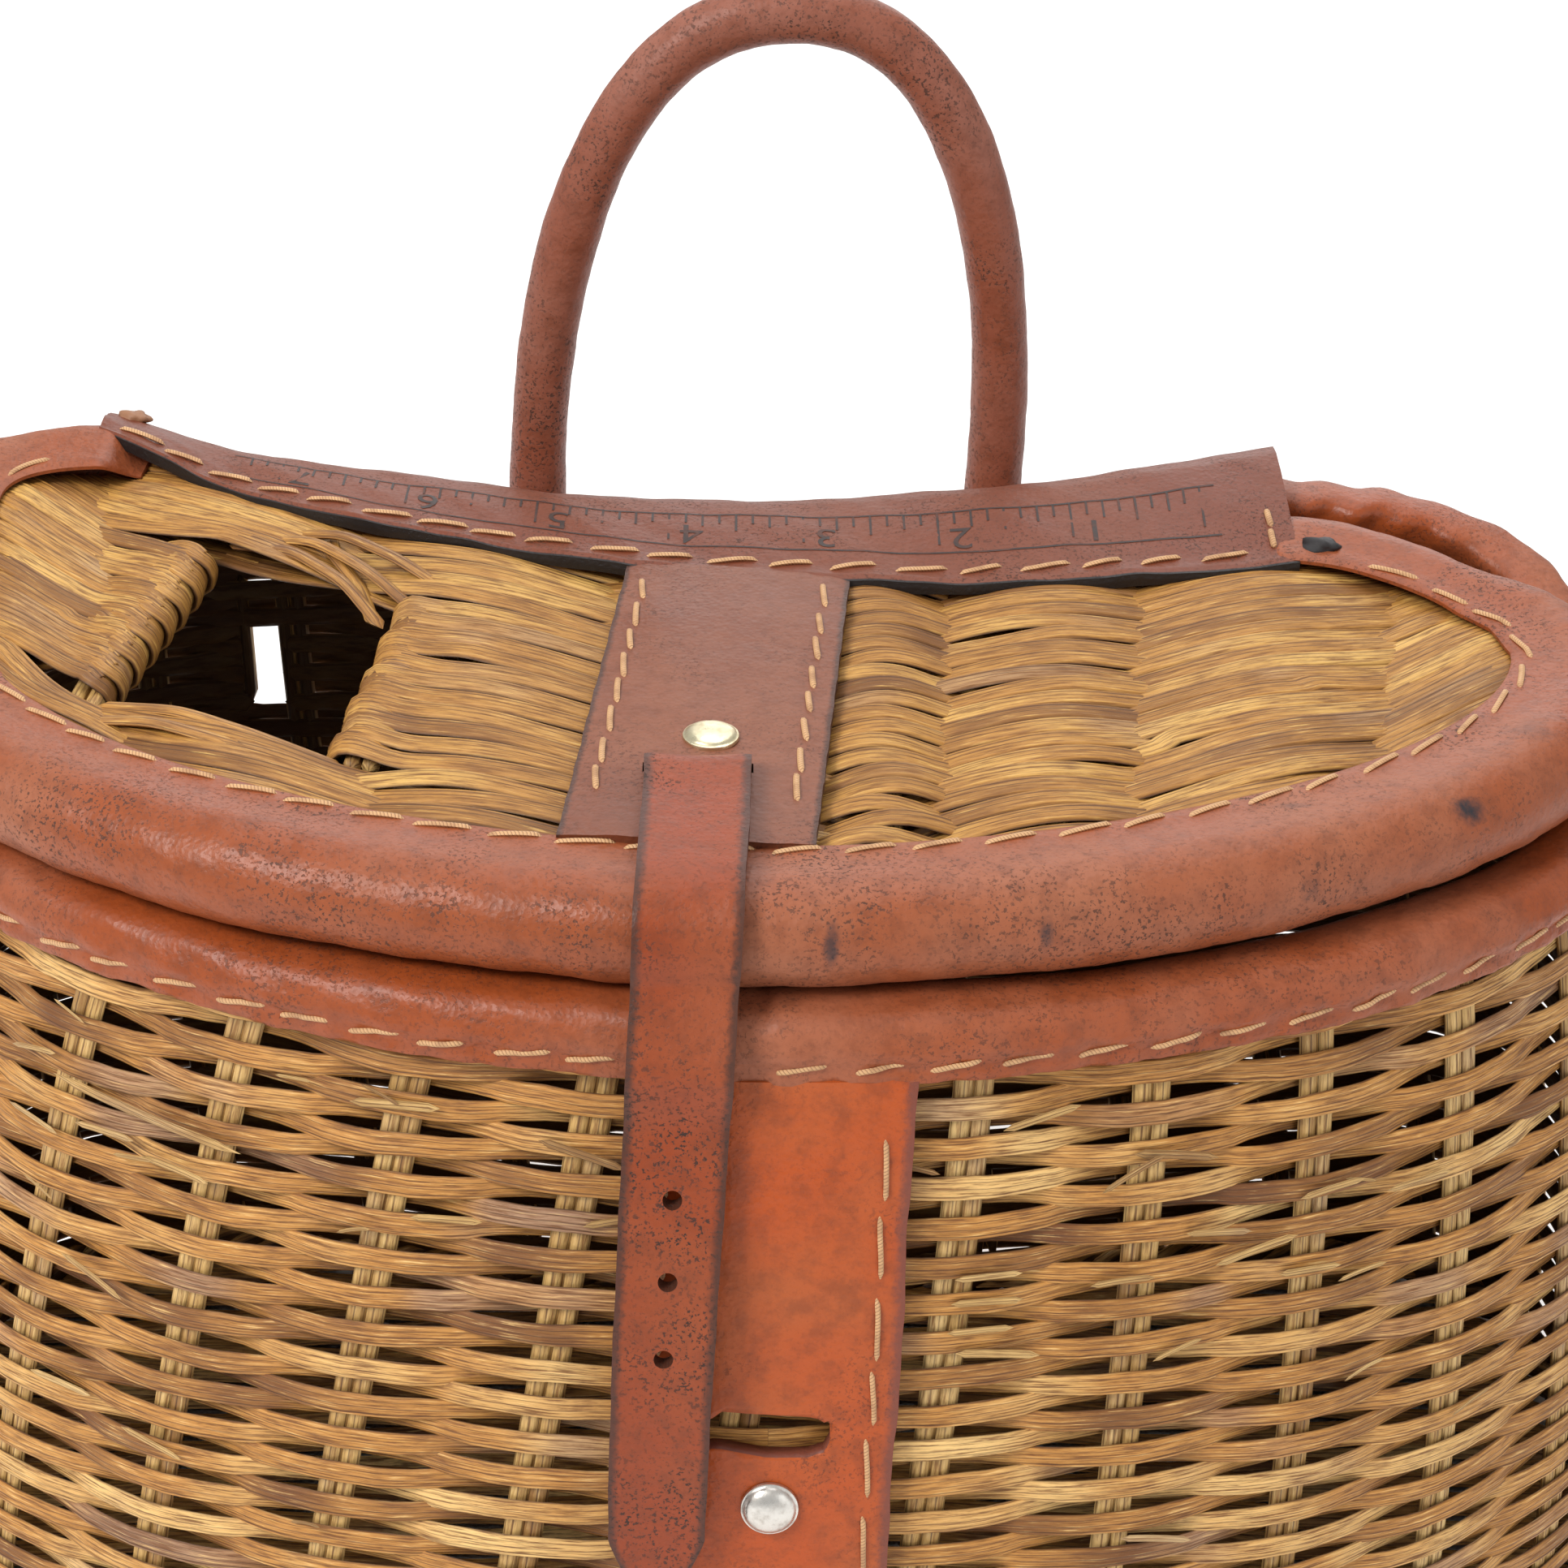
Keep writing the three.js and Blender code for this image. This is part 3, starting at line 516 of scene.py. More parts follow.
    @staticmethod
    def section(corners: Sequence[Row], count: int, passes: int = 2) -> Array:
        """A closed section with evenly spaced points and softened corners.

        Args:
            corners: the section's corners, in order.
            count: how many points to give.
            passes: how often the corners are softened.

        Returns:
            The points, the first one repeated at the end.
        """
        ends = np.array(list(corners) + [corners[0]], float)
        lengths = run_along(ends)
        points = sampled(np.linspace(0.0, lengths[-1], count, endpoint=False), lengths, ends)
        for _ in range(passes):
            points = (np.roll(points, 1, axis=0) + 2 * points + np.roll(points, -1, axis=0)) / 4
        return np.concatenate([points, points[:1]])

    @staticmethod
    def slab(leather: float, count: int) -> Array:
        """The section of a strip of leather, from -1 to 1 across and as thick as is given."""
        return MeshKit.section([(-1.0, 0.0), (-1.0, leather), (1.0, leather), (1.0, 0.0)], count, 0)

    @staticmethod
    def ring(count: int, across: float, up: float) -> Array:
        """An oval profile of a few sides."""
        angle = 2 * math.pi * (np.arange(count) / count - FACE_SHARE)
        return np.stack([across * np.cos(angle), up * np.sin(angle)], axis=1)

    @staticmethod
    def curve(points: Sequence[Sequence[float]], count: int, passes: int) -> Array:
        """An open path with evenly spaced points and softened bends."""
        ends = np.array(points, float)
        lengths = run_along(ends)
        return softened(sampled(np.linspace(0.0, lengths[-1], count), lengths, ends), passes)

    @staticmethod
    def cut(thing: Thing, cutter: Thing) -> None:
        """Cuts one object out of another and removes the cutter.

        Args:
            thing: the object that is cut.
            cutter: the object that is cut out of it.
        """
        modifier = thing.modifiers.new("Cut", "BOOLEAN")
        modifier.operation = "DIFFERENCE"
        modifier.solver = "EXACT"
        modifier.object = cutter
        graph = bpy.context.evaluated_depsgraph_get()
        result = bpy.data.meshes.new_from_object(thing.evaluated_get(graph))
        thing.modifiers.clear()
        thing.data = result
        bpy.data.objects.remove(cutter)


class Slot(Enum):
    """The record's material slots."""

    BODY = "body_willow"
    LID = "lid_willow"
    RIM = "rim_leather"
    PANEL = "panel_leather"
    BAND = "band_leather"
    STRAP = "strap_leather"
    HANDLE = "handle_leather"
    BRASS = "brass"
    NICKEL = "nickel"


class Tree:
    """A node tree with short ways to add and join nodes."""

    def __init__(self, tree: bpy.types.NodeTree) -> None:
        """Takes an empty tree."""
        self.tree = tree

    def add(self, kind: str, settings: dict | None = None, **sockets: object) -> bpy.types.Node:
        """Adds a node.

        Args:
            kind: the node's type without its prefix.
            settings: the node's own settings.
            sockets: inputs by name, with low dashes for spaces, as values or outputs.

        Returns:
            The new node.
        """
        node = self.tree.nodes.new("ShaderNode" + kind)
        for key, value in (settings or {}).items():
            setattr(node, key, value)
        for key, value in sockets.items():
            index = int(key[1:]) if key[0] == "_" and key[1:].isdigit() else key.replace("_", " ")
            self.put(node.inputs[index], value)
        return node

    def put(self, socket: Socket, value: object) -> None:
        """Joins an output to an input, or sets the input's value.

        Args:
            socket: the input.
            value: an output, a number, a vector or a colour.
        """
        if isinstance(value, Socket):
            self.tree.links.new(value, socket)
        elif isinstance(value, tuple) and len(value) == 3 and socket.type == "RGBA":
            socket.default_value = (*value, 1.0)
        else:
            socket.default_value = value

    def math(self, what: str, a: object, b: object = 0.0, c: object = 0.0) -> Socket:
        """The result of a Math node on one to three values."""
        return self.add("Math", {"operation": what}, _0=a, _1=b, _2=c).outputs[0]

    def times(self, a: object, b: object) -> Socket:
        """One value times another."""
        return self.math("MULTIPLY", a, b)

    def mix(self, share: object, a: object, b: object, how: str = "MIX") -> Socket:
        """A mix of two colours.

        Args:
            share: how much of the second colour shows.
            a: the first colour.
            b: the second one.
            how: the way they are mixed.

        Returns:
            The mixed colour.
        """
        node = self.add("Mix", {"data_type": "RGBA", "blend_type": how})
        for index, value in ((0, share), (6, a), (7, b)):
            self.put(node.inputs[index], value)
        return node.outputs[2]

    def remap(self, value: object, low: float, high: float, to_low: float = 0.0,
              to_high: float = 1.0) -> Socket:
        """A value moved smoothly from one range to another.

        Args:
            value: the value.
            low: where the first range starts.
            high: where it ends.
            to_low: where the second range starts.
            to_high: where it ends.

        Returns:
            The moved value.
        """
        node = self.add("MapRange", {"interpolation_type": "SMOOTHSTEP"})
        for index, item in enumerate((value, low, high, to_low, to_high)):
            self.put(node.inputs[index], item)
        return node.outputs[0]

    def noise(self, vector: object, scale: float, detail: float = 2.0,
              rough: float = 0.5) -> Socket:
        """A smooth random value."""
        return self.add("TexNoise", Vector=vector, Scale=scale, Detail=detail,
                        Roughness=rough).outputs[0]


class Effects:
    """Node groups that several finishes share."""

    def __init__(self) -> None:
        """Builds each group once."""
        self.leather = self._leather()
        self.willow = self._willow()
        self.stain = self._stain()

    @staticmethod
    def _group(name: str, inputs: Sequence[tuple[str, str]],
               outputs: Sequence[tuple[str, str]]) -> tuple[Tree, bpy.types.bpy_prop_collection]:
        """An empty group, and its inputs to read from.

        Args:
            name: the group's name.
            inputs: the name and kind of each input.
            outputs: the name and kind of each output.

        Returns:
            The group's tree and its inputs.
        """
        tree = bpy.data.node_groups.new(name, "ShaderNodeTree")
        for way, items in (("INPUT", inputs), ("OUTPUT", outputs)):
            for label, kind in items:
                tree.interface.new_socket(label, in_out=way, socket_type="NodeSocket" + kind)
        return Tree(tree), tree.nodes.new("NodeGroupInput").outputs

    @staticmethod
    def _finish(tree: Tree, **results: object) -> bpy.types.NodeTree:
        """Joins the results to the group's outputs.

        Args:
            tree: the group's tree.
            results: an output of a node for each output of the group.

        Returns:
            The finished group.
        """
        end = tree.tree.nodes.new("NodeGroupOutput")
        for label, value in results.items():
            tree.put(end.inputs[label], value)
        return tree.tree

    def _leather(self) -> bpy.types.NodeTree:
        """Worn leather: dusty patches, pores and a fine grain."""
        tree, given = self._group(
            "WornLeather",
            (("Vector", "Vector"), ("Base", "Color"), ("Dusty", "Color"), ("Dark", "Color"),
             ("Speckle", "Float"), ("Dust", "Float")),
            (("Color", "Color"), ("Roughness", "Float"), ("Height", "Float")),
        )
        at = given["Vector"]
        patch = tree.noise(at, 22.0, 3.0, 0.6)
        mottle = tree.noise(at, 260.0, 4.0, 0.65)
        dust = tree.times(tree.remap(patch, 0.35, 0.7), given["Dust"])
        base = tree.mix(dust, given["Base"], given["Dusty"])
        shade = tree.mix(tree.remap(mottle, 0.4, 0.72, 0.0, 0.42), base, (0.13, 0.032, 0.012))
        pores = tree.remap(tree.noise(at, 1400.0, 2.0, 0.7), 0.54, 0.63)
        where = tree.remap(tree.noise(at, 48.0, 3.0, 0.65), 0.4, 0.68, 0.25, 1.0)
        spots = tree.times(tree.times(pores, where), given["Speckle"])
        color = tree.mix(spots, shade, given["Dark"])
        cells = tree.add("TexVoronoi", Vector=at, Scale=950.0).outputs["Distance"]
        lump = tree.math("ADD", tree.times(cells, 0.5), tree.noise(at, 420.0, 3.0))
        height = tree.math("SUBTRACT", lump, tree.times(spots, 0.4))
        rough = tree.math("ADD", tree.remap(patch, 0.3, 0.7, 0.36, 0.52),
                          tree.times(spots, 0.25))
        return self._finish(tree, Color=color, Roughness=rough, Height=height)

    def _willow(self) -> bpy.types.NodeTree:
        """Split willow: tones that change along each strand, fine streaks, and painted shade in each
        groove and on each strand's sides and back.
        """
        tree, given = self._group(
            "SplitWillow",
            (("Vector", "Vector"), ("Honey", "Color"), ("Pale", "Color"), ("Brown", "Color"),
             ("Grey", "Color")),
            (("Color", "Color"), ("Roughness", "Float"), ("Height", "Float")),
        )
        parts = tree.add("SeparateXYZ", _0=given["Vector"])
        along, number = parts.outputs[0], parts.outputs[1]
        strand = tree.math("FLOOR", number)
        tone, greyness, streak = (
            tree.noise(
                tree.add("CombineXYZ", X=tree.times(along, stretch),
                         Y=tree.times(row, spread), Z=layer).outputs[0],
                1.0, detail, rough,
            )
            for stretch, row, spread, layer, detail, rough in (
                (14.0, strand, 3.71, 0.0, 3.0, 0.6),
                (22.0, strand, 5.33, 4.0, 2.0, 0.5),
                (120.0, number, 15.0, 0.0, 4.0, 0.65),
            )
        )
        color = given["Brown"]
        for value, low, high, to_low, to_high, over in (
            (tone, 0.32, 0.52, 0.0, 1.0, "Honey"), (tone, 0.5, 0.72, 0.0, 1.0, "Pale"),
            (greyness, 0.56, 0.72, 0.0, 0.75, "Grey"), (streak, 0.34, 0.56, 0.9, 0.0, "Brown"),
            (streak, 0.55, 0.72, 0.0, 0.8, "Pale"),
        ):
            color = tree.mix(tree.remap(value, low, high, to_low, to_high), color, given[over])
        side = tree.math("SUBTRACT", number, strand)
        # painted shade: a dark line in each groove of a strand, weaker where the tone is pale
        line = tree.math("ABSOLUTE", tree.math("SINE", tree.times(side, GROOVE_SHADE_TURN)))
        deep = tree.times(tree.remap(line, 0.0, 0.42, 1.0, 0.0),
                         tree.remap(tone, 0.3, 0.65, 1.0, 0.6))
        color = tree.mix(deep, color, (0.075, 0.028, 0.009))
        # painted shade on each strand's sides and back, away from its outer face
        away = tree.math("ABSOLUTE", tree.math("SUBTRACT", side, FACE_SHARE))
        color = tree.mix(tree.remap(away, 0.29, 0.4, 0.0, 0.85), color, (0.06, 0.024, 0.009))
        rough = tree.remap(streak, 0.3, 0.7, 0.58, 0.4)
        return self._finish(tree, Color=color, Roughness=rough, Height=streak)

    def _stain(self) -> bpy.types.NodeTree:
        """A ragged spot round a point."""
        tree, given = self._group(
            "RaggedSpot",
            (("Vector", "Vector"), ("Centre", "Vector"), ("Reach", "Vector"), ("Ragged", "Float")),
            (("Mask", "Float"),),
        )
        away = tree.add("VectorMath", {"operation": "SUBTRACT"}, _0=given["Vector"],
                        _1=given["Centre"]).outputs[0]
        scaled = tree.add("VectorMath", {"operation": "DIVIDE"}, _0=away,
                          _1=given["Reach"]).outputs[0]
        far = tree.add("VectorMath", {"operation": "LENGTH"}, _0=scaled).outputs["Value"]
        wobble = tree.times(tree.noise(given["Vector"], 420.0, 4.0, 0.7),
                           given["Ragged"])
        return self._finish(tree, Mask=tree.remap(tree.math("ADD", far, wobble), 0.6, 1.35, 1.0, 0.0))


@dataclass(frozen=True)
class Spot:
    """A stain: its middle and reach in millimetres."""

    x: float
    y: float
    z: float
    reach: tuple[float, float, float]
    strength: float = 0.8


class Finish:
    """A material under construction."""

    def __init__(self, name: str) -> None:
        """Starts an empty material."""
        self.material = bpy.data.materials.new(name)
        self.material.use_nodes = True
        self.material.node_tree.nodes.clear()
        self.tree = Tree(self.material.node_tree)
        self.shader = self.tree.add("BsdfPrincipled")
        self.tree.put(self.tree.add("OutputMaterial").inputs[0], self.shader.outputs[0])
        self.object = self.tree.add("TexCoord").outputs["Object"]
        self.uv = self.tree.add("UVMap", {"uv_map": "Along"}).outputs[0]

    def group(self, group: bpy.types.NodeTree, **sockets: object) -> bpy.types.Node:
        """Places a shared effect.

        Args:
            group: the effect.
            sockets: values or outputs for its inputs.

        Returns:
            The placed group.
        """
        node = self.tree.add("Group", {"node_tree": group})
        for key, value in sockets.items():
            self.tree.put(node.inputs[key], value)
        return node

    def bump(self, height: object, distance: float, strength: float = 1.0,
             under: object = None) -> Socket:
        """A relief of a real depth in metres, over another one if there is one.

        Args:
            height: the relief's height.
            distance: its depth.
            strength: how much of it shows.
            under: a normal to lay it on.

        Returns:
            The bent normal.
        """
        node = self.tree.add("Bump", Strength=strength, Distance=distance, Height=height)
        if under is not None:
            self.tree.put(node.inputs["Normal"], under)
        return node.outputs[0]

    def done(self, color: object, roughness: object, normal: object) -> bpy.types.Material:
        """Joins the results to the shader.

        Args:
            color: the base colour.
            roughness: the roughness.
            normal: the bent normal.

        Returns:
            The finished material.
        """
        for label, value in (("Base Color", color), ("Roughness", roughness), ("Normal", normal)):
            self.tree.put(self.shader.inputs[label], value)
        return self.material


@dataclass(frozen=True)
class LeatherFinish:
    """Waxed leather with its tones, speckle, stains and dark cut edges."""

    name: str
    base: Colour
    dusty: Colour
    speckle: float = 0.7
    dust: float = 0.5
    relief: float = 0.00014
    dark: Colour = (0.035, 0.018, 0.013)
    spots: tuple[Spot, ...] = ()
    edge_width: float = 0.0
    edge_colour: Colour = (0.05, 0.022, 0.015)
    black_edge: float = 0.0

    def make(self, effects: Effects) -> bpy.types.Material:
        """Builds the material.

        Args:
            effects: the shared node groups.

        Returns:
            The material.
        """
        finish = Finish(self.name)
        tree = finish.tree
        hide = finish.group(effects.leather, Vector=finish.object, Base=self.base, Dusty=self.dusty,
                            Dark=self.dark, Speckle=self.speckle, Dust=self.dust)
        color = hide.outputs["Color"]
        rough = hide.outputs["Roughness"]
        for spot in self.spots:
            mark = finish.group(
                effects.stain, Vector=finish.object,
                Centre=(spot.x * MM, spot.y * MM, spot.z * MM),
                Reach=tuple(side * MM for side in spot.reach), Ragged=0.9,
            )
            share = tree.times(mark.outputs[0], spot.strength)
            color = tree.mix(share, color, (0.022, 0.021, 0.026))
        if self.edge_width > 0:
            side = tree.add("SeparateXYZ", _0=finish.uv).outputs[1]
            near = tree.math("MINIMUM", side, tree.math("SUBTRACT", 1.0, side))
            rag = tree.times(tree.noise(finish.object, 700.0, 3.0, 0.7), self.edge_width)
            edge = tree.remap(tree.math("SUBTRACT", near, rag), -0.3 * self.edge_width,
                              0.55 * self.edge_width, 0.85, 0.0)
            color = tree.mix(edge, color, self.edge_colour)
        if self.black_edge > 0:
            side = tree.add("SeparateXYZ", _0=finish.uv).outputs[1]
            edge = tree.remap(side, self.black_edge, self.black_edge + 0.012, 1.0, 0.0)
            color = tree.mix(edge, color, (0.016, 0.013, 0.013))
        crease = finish.bump(tree.noise(finish.object, 70.0, 2.0, 0.5), 0.0006, 0.5)
        normal = finish.bump(hide.outputs["Height"], self.relief, 1.0, crease)
        finish.shader.inputs["Specular IOR Level"].default_value = 0.34
        return finish.done(color, rough, normal)


@dataclass(frozen=True)
class WillowFinish:
    """Aged split willow under old varnish."""

    name: str
    honey: Colour
    pale: Colour
    brown: Colour
    grey: Colour

    def make(self, effects: Effects) -> bpy.types.Material:
        """Builds the material from the shared willow effect."""
        finish = Finish(self.name)
        wood = finish.group(effects.willow, Vector=finish.uv, Honey=self.honey, Pale=self.pale,
                            Brown=self.brown, Grey=self.grey)
        finish.shader.inputs["Specular IOR Level"].default_value = 0.4
        normal = finish.bump(wood.outputs["Height"], 0.00035, 0.8)
        return finish.done(wood.outputs["Color"], wood.outputs["Roughness"], normal)


@dataclass(frozen=True)
class ThreadFinish:
    """Waxed two-ply thread."""

    name: str = "waxed_thread"
    pale: Colour = (0.62, 0.36, 0.17)
    dark: Colour = (0.3, 0.14, 0.07)

    def make(self) -> bpy.types.Material:
        """Builds the material with its twist, with painted shade in the grooves between the plies."""
        finish = Finish(self.name)
        tree = finish.tree
        parts = tree.add("SeparateXYZ", _0=finish.uv)
        turn = tree.math("ADD", tree.times(parts.outputs[0], 5200.0),
                         tree.times(parts.outputs[1], 6.283))
        ply = tree.math("ABSOLUTE", tree.math("SINE", turn))
        worn = tree.noise(finish.object, 300.0, 2.0)
        # painted shade: darker in the grooves between the plies, paler on their crowns
        color = tree.mix(tree.remap(ply, 0.0, 0.55), self.dark, self.pale)
        color = tree.mix(tree.remap(worn, 0.45, 0.7, 0.0, 0.5), color, self.dark)
        rough = tree.remap(worn, 0.3, 0.7, 0.5, 0.7)
        return finish.done(color, rough, finish.bump(ply, 0.0001, 0.8))


@dataclass(frozen=True)
class MetalFinish:
    """Dull plated metal with fine scratches."""

    name: str
    base: Colour
    tarnish: Colour

    def make(self) -> bpy.types.Material:
        """Builds the material with tarnish in patches."""
        finish = Finish(self.name)
        tree = finish.tree
        patch = tree.noise(finish.object, 420.0, 4.0, 0.6)
        color = tree.mix(tree.remap(patch, 0.45, 0.75, 0.0, 0.6), self.base, self.tarnish)
        rough = tree.remap(patch, 0.3, 0.7, 0.24, 0.42)
        finish.shader.inputs["Metallic"].default_value = 1.0
        return finish.done(color, rough, finish.bump(tree.noise(finish.object, 1500.0), 0.00003))


@dataclass(frozen=True)
class InkFinish:
    """Faded ink of the scale on the strip."""

    name: str = "scale_ink"

    def make(self) -> bpy.types.Material:
        """Builds the material with worn places."""
        finish = Finish(self.name)
        tree = finish.tree
        worn = tree.noise(finish.object, 260.0, 3.0, 0.7)
        color = tree.mix(tree.remap(worn, 0.46, 0.7, 0.0, 0.7), (0.028, 0.014, 0.011),
                         (0.12, 0.04, 0.024))
        return finish.done(color, tree.remap(worn, 0.3, 0.7, 0.5, 0.65),
                           finish.bump(worn, 0.00005))


class Palette:
    """All the finishes of the creel, made once."""

    def __init__(self, shape: CreelShape) -> None:
        """Makes every material."""
        effects = Effects()
        line = shape.side_line
        rim_spots = (
            Spot(-128.0, line - 67.0, 210.0, (3.5, 4.0, 5.0)),
            Spot(-92.0, line - 80.0, 209.0, (4.0, 3.0, 4.0), 0.5),
            Spot(-62.0, line - 90.0, 206.0, (4.5, 3.0, 4.0), 0.4),
            Spot(8.5, line - 92.0, 209.0, (2.0, 5.0, 6.0), 0.8),
            Spot(42.0, line - 89.0, 209.0, (2.2, 5.0, 6.5), 1.0),
            Spot(85.5, line - 77.0, 209.0, (4.0, 6.0, 6.0), 1.0),
            Spot(114.0, line - 55.0, 213.0, (5.5, 4.0, 4.0), 1.0),
            Spot(128.0, line - 33.0, 213.0, (9.0, 5.0, 4.0), 0.6),
            Spot(84.0, line - 57.0, 213.0, (6.0, 2.0, 3.0), 0.5),
        )
        self.body = WillowFinish("body_willow_split", (0.57, 0.26, 0.058), (0.92, 0.6, 0.23),
                                 (0.17, 0.06, 0.015), (0.4, 0.24, 0.15)).make(effects)
        self.stake = WillowFinish("stake_willow", (0.62, 0.38, 0.13), (0.84, 0.58, 0.25),
                                  (0.26, 0.12, 0.035), (0.46, 0.3, 0.17)).make(effects)
        self.lid = WillowFinish("lid_willow_split", (0.46, 0.215, 0.045), (0.72, 0.43, 0.12),
                                (0.2, 0.08, 0.02), (0.4, 0.23, 0.11)).make(effects)
        self.rim = LeatherFinish("rim_hide", (0.29, 0.068, 0.02), (0.36, 0.145, 0.08),
                                 0.8, 0.55, spots=rim_spots).make(effects)
        self.binding = LeatherFinish("binding_hide", (0.3, 0.062, 0.014), (0.38, 0.145, 0.08),
                                     0.6, 0.6).make(effects)
        self.panel = LeatherFinish("panel_hide", (0.43, 0.07, 0.009), (0.39, 0.12, 0.038),
                                   0.45, 0.45, edge_width=0.055,
                                   edge_colour=(0.16, 0.05, 0.035)).make(effects)
        self.band = LeatherFinish("band_hide", (0.18, 0.048, 0.019), (0.27, 0.1, 0.055),
                                  0.5, 0.7, edge_width=0.03).make(effects)
        self.strip = LeatherFinish("strip_hide", (0.165, 0.036, 0.013), (0.21, 0.068, 0.036),
                                   0.75, 0.6, black_edge=0.128).make(effects)
        self.strap = LeatherFinish("strap_hide", (0.27, 0.044, 0.009), (0.31, 0.085, 0.03),
                                   1.0, 0.5, edge_width=0.12).make(effects)
        self.handle = LeatherFinish("handle_hide", (0.25, 0.072, 0.038), (0.33, 0.15, 0.11),
                                    0.8, 0.5).make(effects)
        self.thread = ThreadFinish().make()
        self.tar = ThreadFinish("tarred_thread", (0.05, 0.04, 0.04), (0.015, 0.012, 0.013)).make()
        self.ink = InkFinish().make()
        self.brass = MetalFinish("pale_brass", (0.78, 0.7, 0.48), (0.45, 0.36, 0.2)).make()
        self.nickel = MetalFinish("dull_nickel", (0.72, 0.69, 0.64), (0.32, 0.27, 0.22)).make()


def mount(thing: Thing, material: bpy.types.Material,
          node: str) -> None:
    """Dresses a finished piece and fixes it to the model.

    Args:
        thing: the piece.
        material: its material.
        node: the node that it stands for.
    """
    thing.data.materials.clear()
    thing.data.materials.append(material)
    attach(thing, BODY)
    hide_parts(node)
    LOG.info("%s: %d faces", thing.name, len(thing.data.polygons))


@dataclass
class Stitches:
    """A run of hand-sewn stitches along a path."""

    length: float = 8.5
    pitch: float = 11.0
    radius: float = 0.5
    slant: float = 0.9
    samples: int = 9

    def sew(self, name: str, path: Array, normal: Array, seed: int) -> Thing:
        """Makes the stitches.

        Args:
            name: the object's name.
            path: points on the leather along the seam.
            normal: the leather's outward direction at each point.
            seed: varies the stitches.

        Returns:
            The stitches as one object.
        """
        rng = np.random.default_rng(seed)
        run = run_along(path)
        count = max(1, int((run[-1] - self.length) / self.pitch) + 1)
        share = np.linspace(0.0, 1.0, self.samples)
        centre = np.zeros((count, self.samples, 3))
        wide = np.zeros((count, self.samples, 3))
        size = np.tile(np.where((share < 0.01) | (share > 0.99), 0.0, 1.0), (count, 1))
        for index in range(count):
            start = index * self.pitch + rng.uniform(-0.7, 0.7)
            length = self.length + rng.uniform(-1.1, 1.1)
            at = np.clip(start + length * share, 0.0, run[-1])
            point = sampled(at, run, path)
            up = unit(sampled(at, run, normal))
            side = unit(np.cross(up, np.gradient(point, axis=0)))
            bow = np.sin(math.pi * share) ** 0.35
            slant = (self.slant + rng.uniform(-0.2, 0.3)) * (share - 0.5)
            centre[index] = point + up * (0.55 * bow - 0.15)[:, None] + side * slant[:, None]
            centre[index] += side * (0.25 * bow)[:, None]
            wide[index] = side
        profile = MeshKit.ring(6, self.radius * 0.8, self.radius)
        return MeshKit.strands(name, centre, wide, size, profile, first=seed * 100)


@dataclass
class Part:
    """A sub-assembly of the creel, with the creel's form and finishes."""

    shape: CreelShape
    palette: Palette

    def sew(self, stitches: Stitches, name: str, path: Array, normal: Array, seed: int, slot: Slot,
            node: str) -> None:
        """Sews and dresses a run of stitches.

        Args:
            stitches: the kind of stitches.
            name: the object's name.
            path: points on the leather along the seam.
            normal: the leather's outward direction at each point.
            seed: varies the stitches.
            slot: the slot of the leather that they are sewn into; not used.
            node: the node of that leather.
        """
        mount(stitches.sew(name, path, normal, seed), self.palette.thread, node)

    def sew_sides(self, stitches: Stitches, name: str, surface: Callable[[Array], Array],
                  normal: Array, seed: int, slot: Slot, node: str) -> None:
        """Sews a seam along the left edge of a strip of leather and one along its right edge.

        Args:
            stitches: the kind of stitches.
            name: the seams' name, before left and right.
            surface: gives the seam's points for shares of the half width.
            normal: the leather's outward direction at each point.
            seed: varies the stitches.
            slot: the leather's slot.
            node: the leather's node.
        """
        for side, end in ((-1, "left"), (1, "right")):
            path = surface(np.full(len(normal), side * 0.8))
            self.sew(stitches, f"{name}_{end}", path, normal, seed + side, slot, node)


